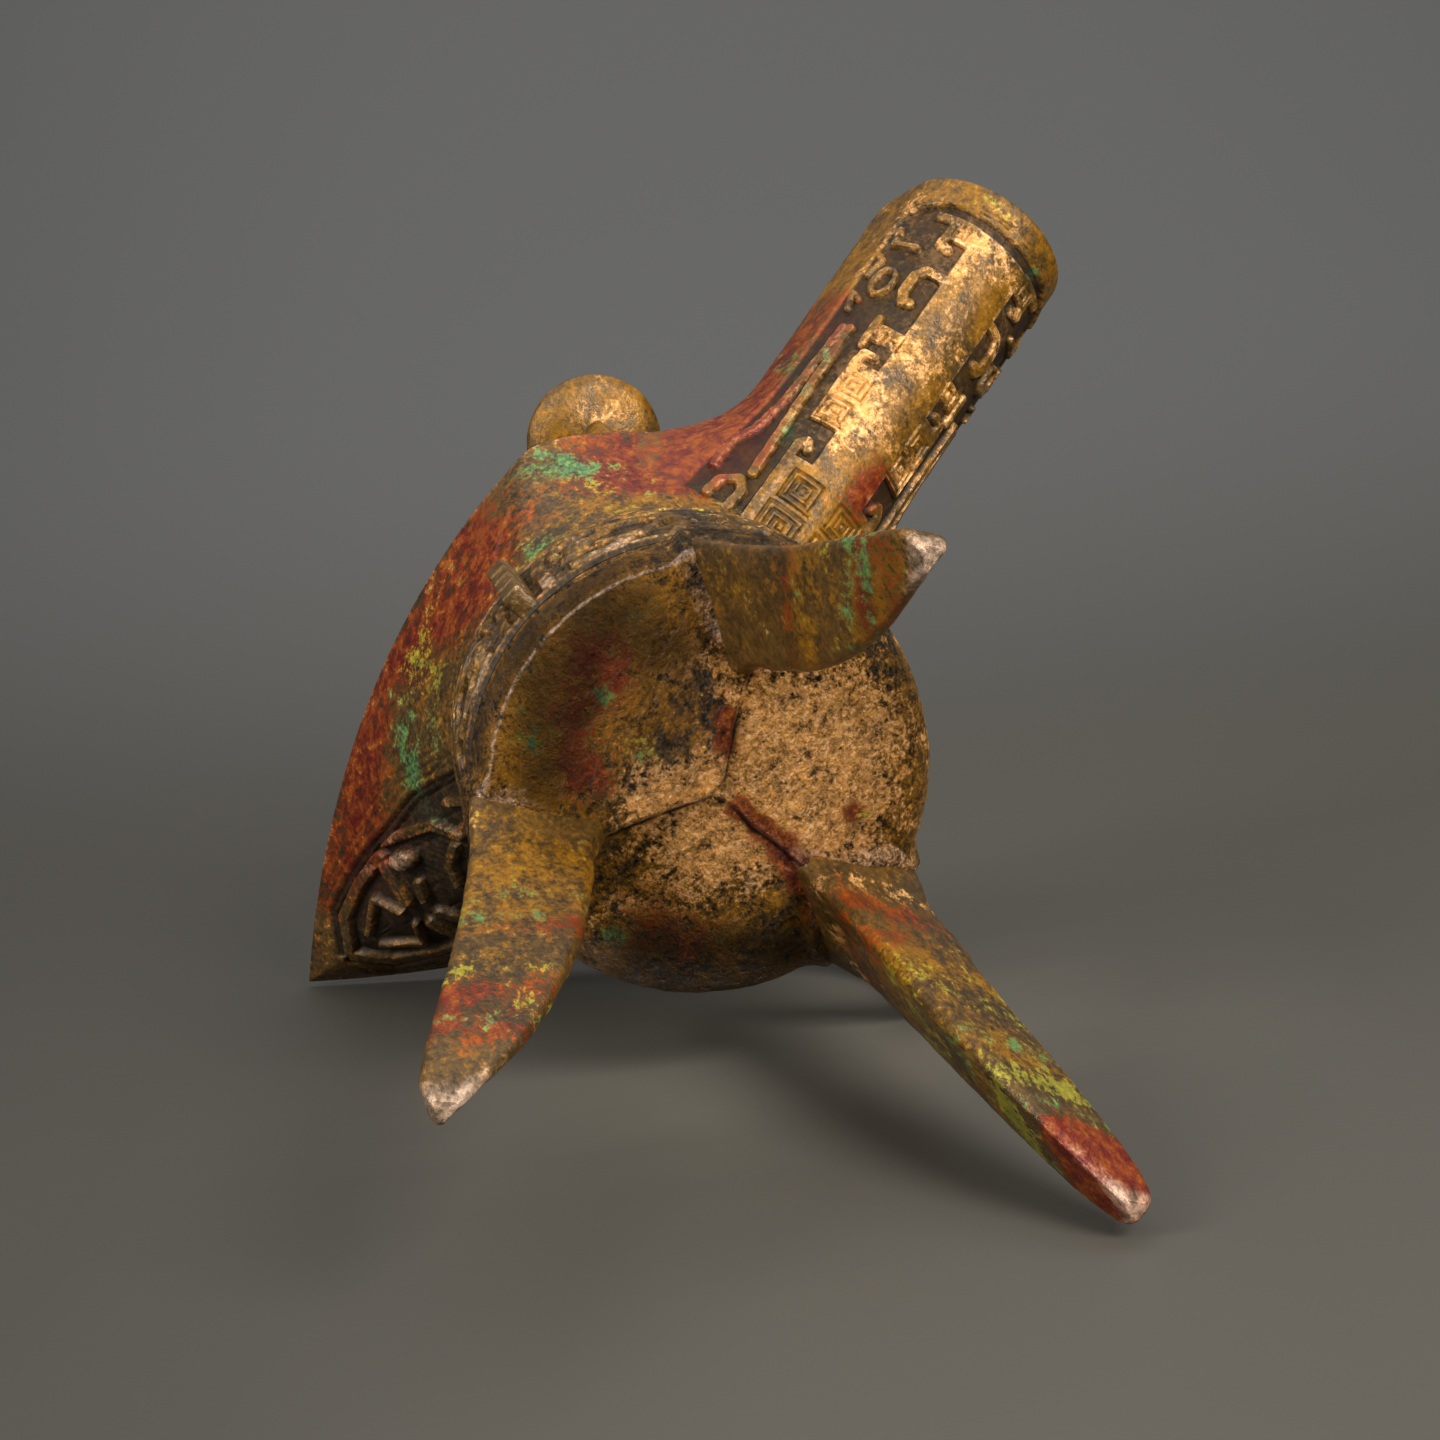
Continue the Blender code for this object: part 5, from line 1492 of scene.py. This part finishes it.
def floor_sheet(base, normal, far, side):
    """A sheet of paper that lies under the cup and curves up far behind it; it shows from above only."""
    steps = np.linspace(-PAPER_HALF, PAPER_HALF, PAPER_STEPS)
    path = [(d, 0.0) for d in np.linspace(-PAPER_HALF, PAPER_FLAT, PAPER_STEPS)]
    bend = np.linspace(0.05, math.radians(75), 40)
    path += [(PAPER_FLAT + PAPER_BEND * math.sin(a), PAPER_BEND * (1 - math.cos(a))) for a in bend]
    points = [base + far * d + normal * h + side * s * (1.0 + max(d, 0)) for d, h in path for s in steps]
    n = PAPER_STEPS
    faces = [(r * n + c, r * n + c + 1, (r + 1) * n + c + 1, (r + 1) * n + c)
             for r in range(len(path) - 1) for c in range(n - 1)]
    mesh = bpy.data.meshes.new("floor")
    mesh.from_pydata([tuple(p) for p in points], [], faces)
    mesh.update()
    if mesh.polygons[0].normal.dot(normal) < 0:
        mesh.flip_normals()
    mesh.shade_smooth()
    made = bpy.data.objects.new("floor", mesh)
    bpy.context.scene.collection.objects.link(made)
    d, s = np.repeat([d for d, h in path], n), np.tile(steps, len(path))
    set_values(made, "away", smooth((d - 0.15) / 0.5))
    aside = s / (0.42 + np.maximum(d, -0.2))
    # painted shade: the paper is painted darker towards its left edge, and a little towards its right
    painted_light_and_shade = 0.34 * smooth((-aside - 0.02) / 0.24) + 0.10 * smooth((aside - 0.06) / 0.18)
    # painted light: the paper is painted paler where the cup's shadow falls, to lift that shadow
    painted_light_and_shade -= 1.3 * np.exp(-((s - 0.005) / 0.042) ** 2 - ((d - 0.004) / 0.036) ** 2)
    set_values(made, "painted_light_and_shade", painted_light_and_shade)
    mesh.materials.append(paper_look())


class CUP_PT_panel(bpy.types.Panel):
    bl_idname = "CUP_PT_panel"
    bl_label = "Bronze cup"
    bl_space_type = "VIEW_3D"
    bl_region_type = "UI"
    bl_category = "Cup"

    def draw(self, context):
        for step in STEPS:
            self.layout.operator(step.bl_idname)
        for group in (context.scene.cup_sizes, context.scene.cup_colours):
            box = self.layout.box()
            for key in type(group).__annotations__:
                box.prop(group, key)


STEPS = (CUP_OT_body, CUP_OT_band, CUP_OT_mouth, CUP_OT_spout, CUP_OT_legs, CUP_OT_posts, CUP_OT_handle,
         CUP_OT_flanges, CUP_OT_studio)
CLASSES = (CupSizes, CupColours, *STEPS, CUP_PT_panel)


def register():
    for one in CLASSES:
        bpy.utils.register_class(one)
    bpy.types.Scene.cup_sizes = PointerProperty(type=CupSizes)
    bpy.types.Scene.cup_colours = PointerProperty(type=CupColours)


def unregister():
    del bpy.types.Scene.cup_colours
    del bpy.types.Scene.cup_sizes
    for one in reversed(CLASSES):
        bpy.utils.unregister_class(one)


def main():
    register()
    bpy.ops.cup.body()
    bpy.ops.cup.band()
    bpy.ops.cup.mouth()
    bpy.ops.cup.spout()
    bpy.ops.cup.legs()
    bpy.ops.cup.posts()
    bpy.ops.cup.handle()
    bpy.ops.cup.flanges()
    bpy.ops.cup.studio()


if __name__ == "__main__":
    main()
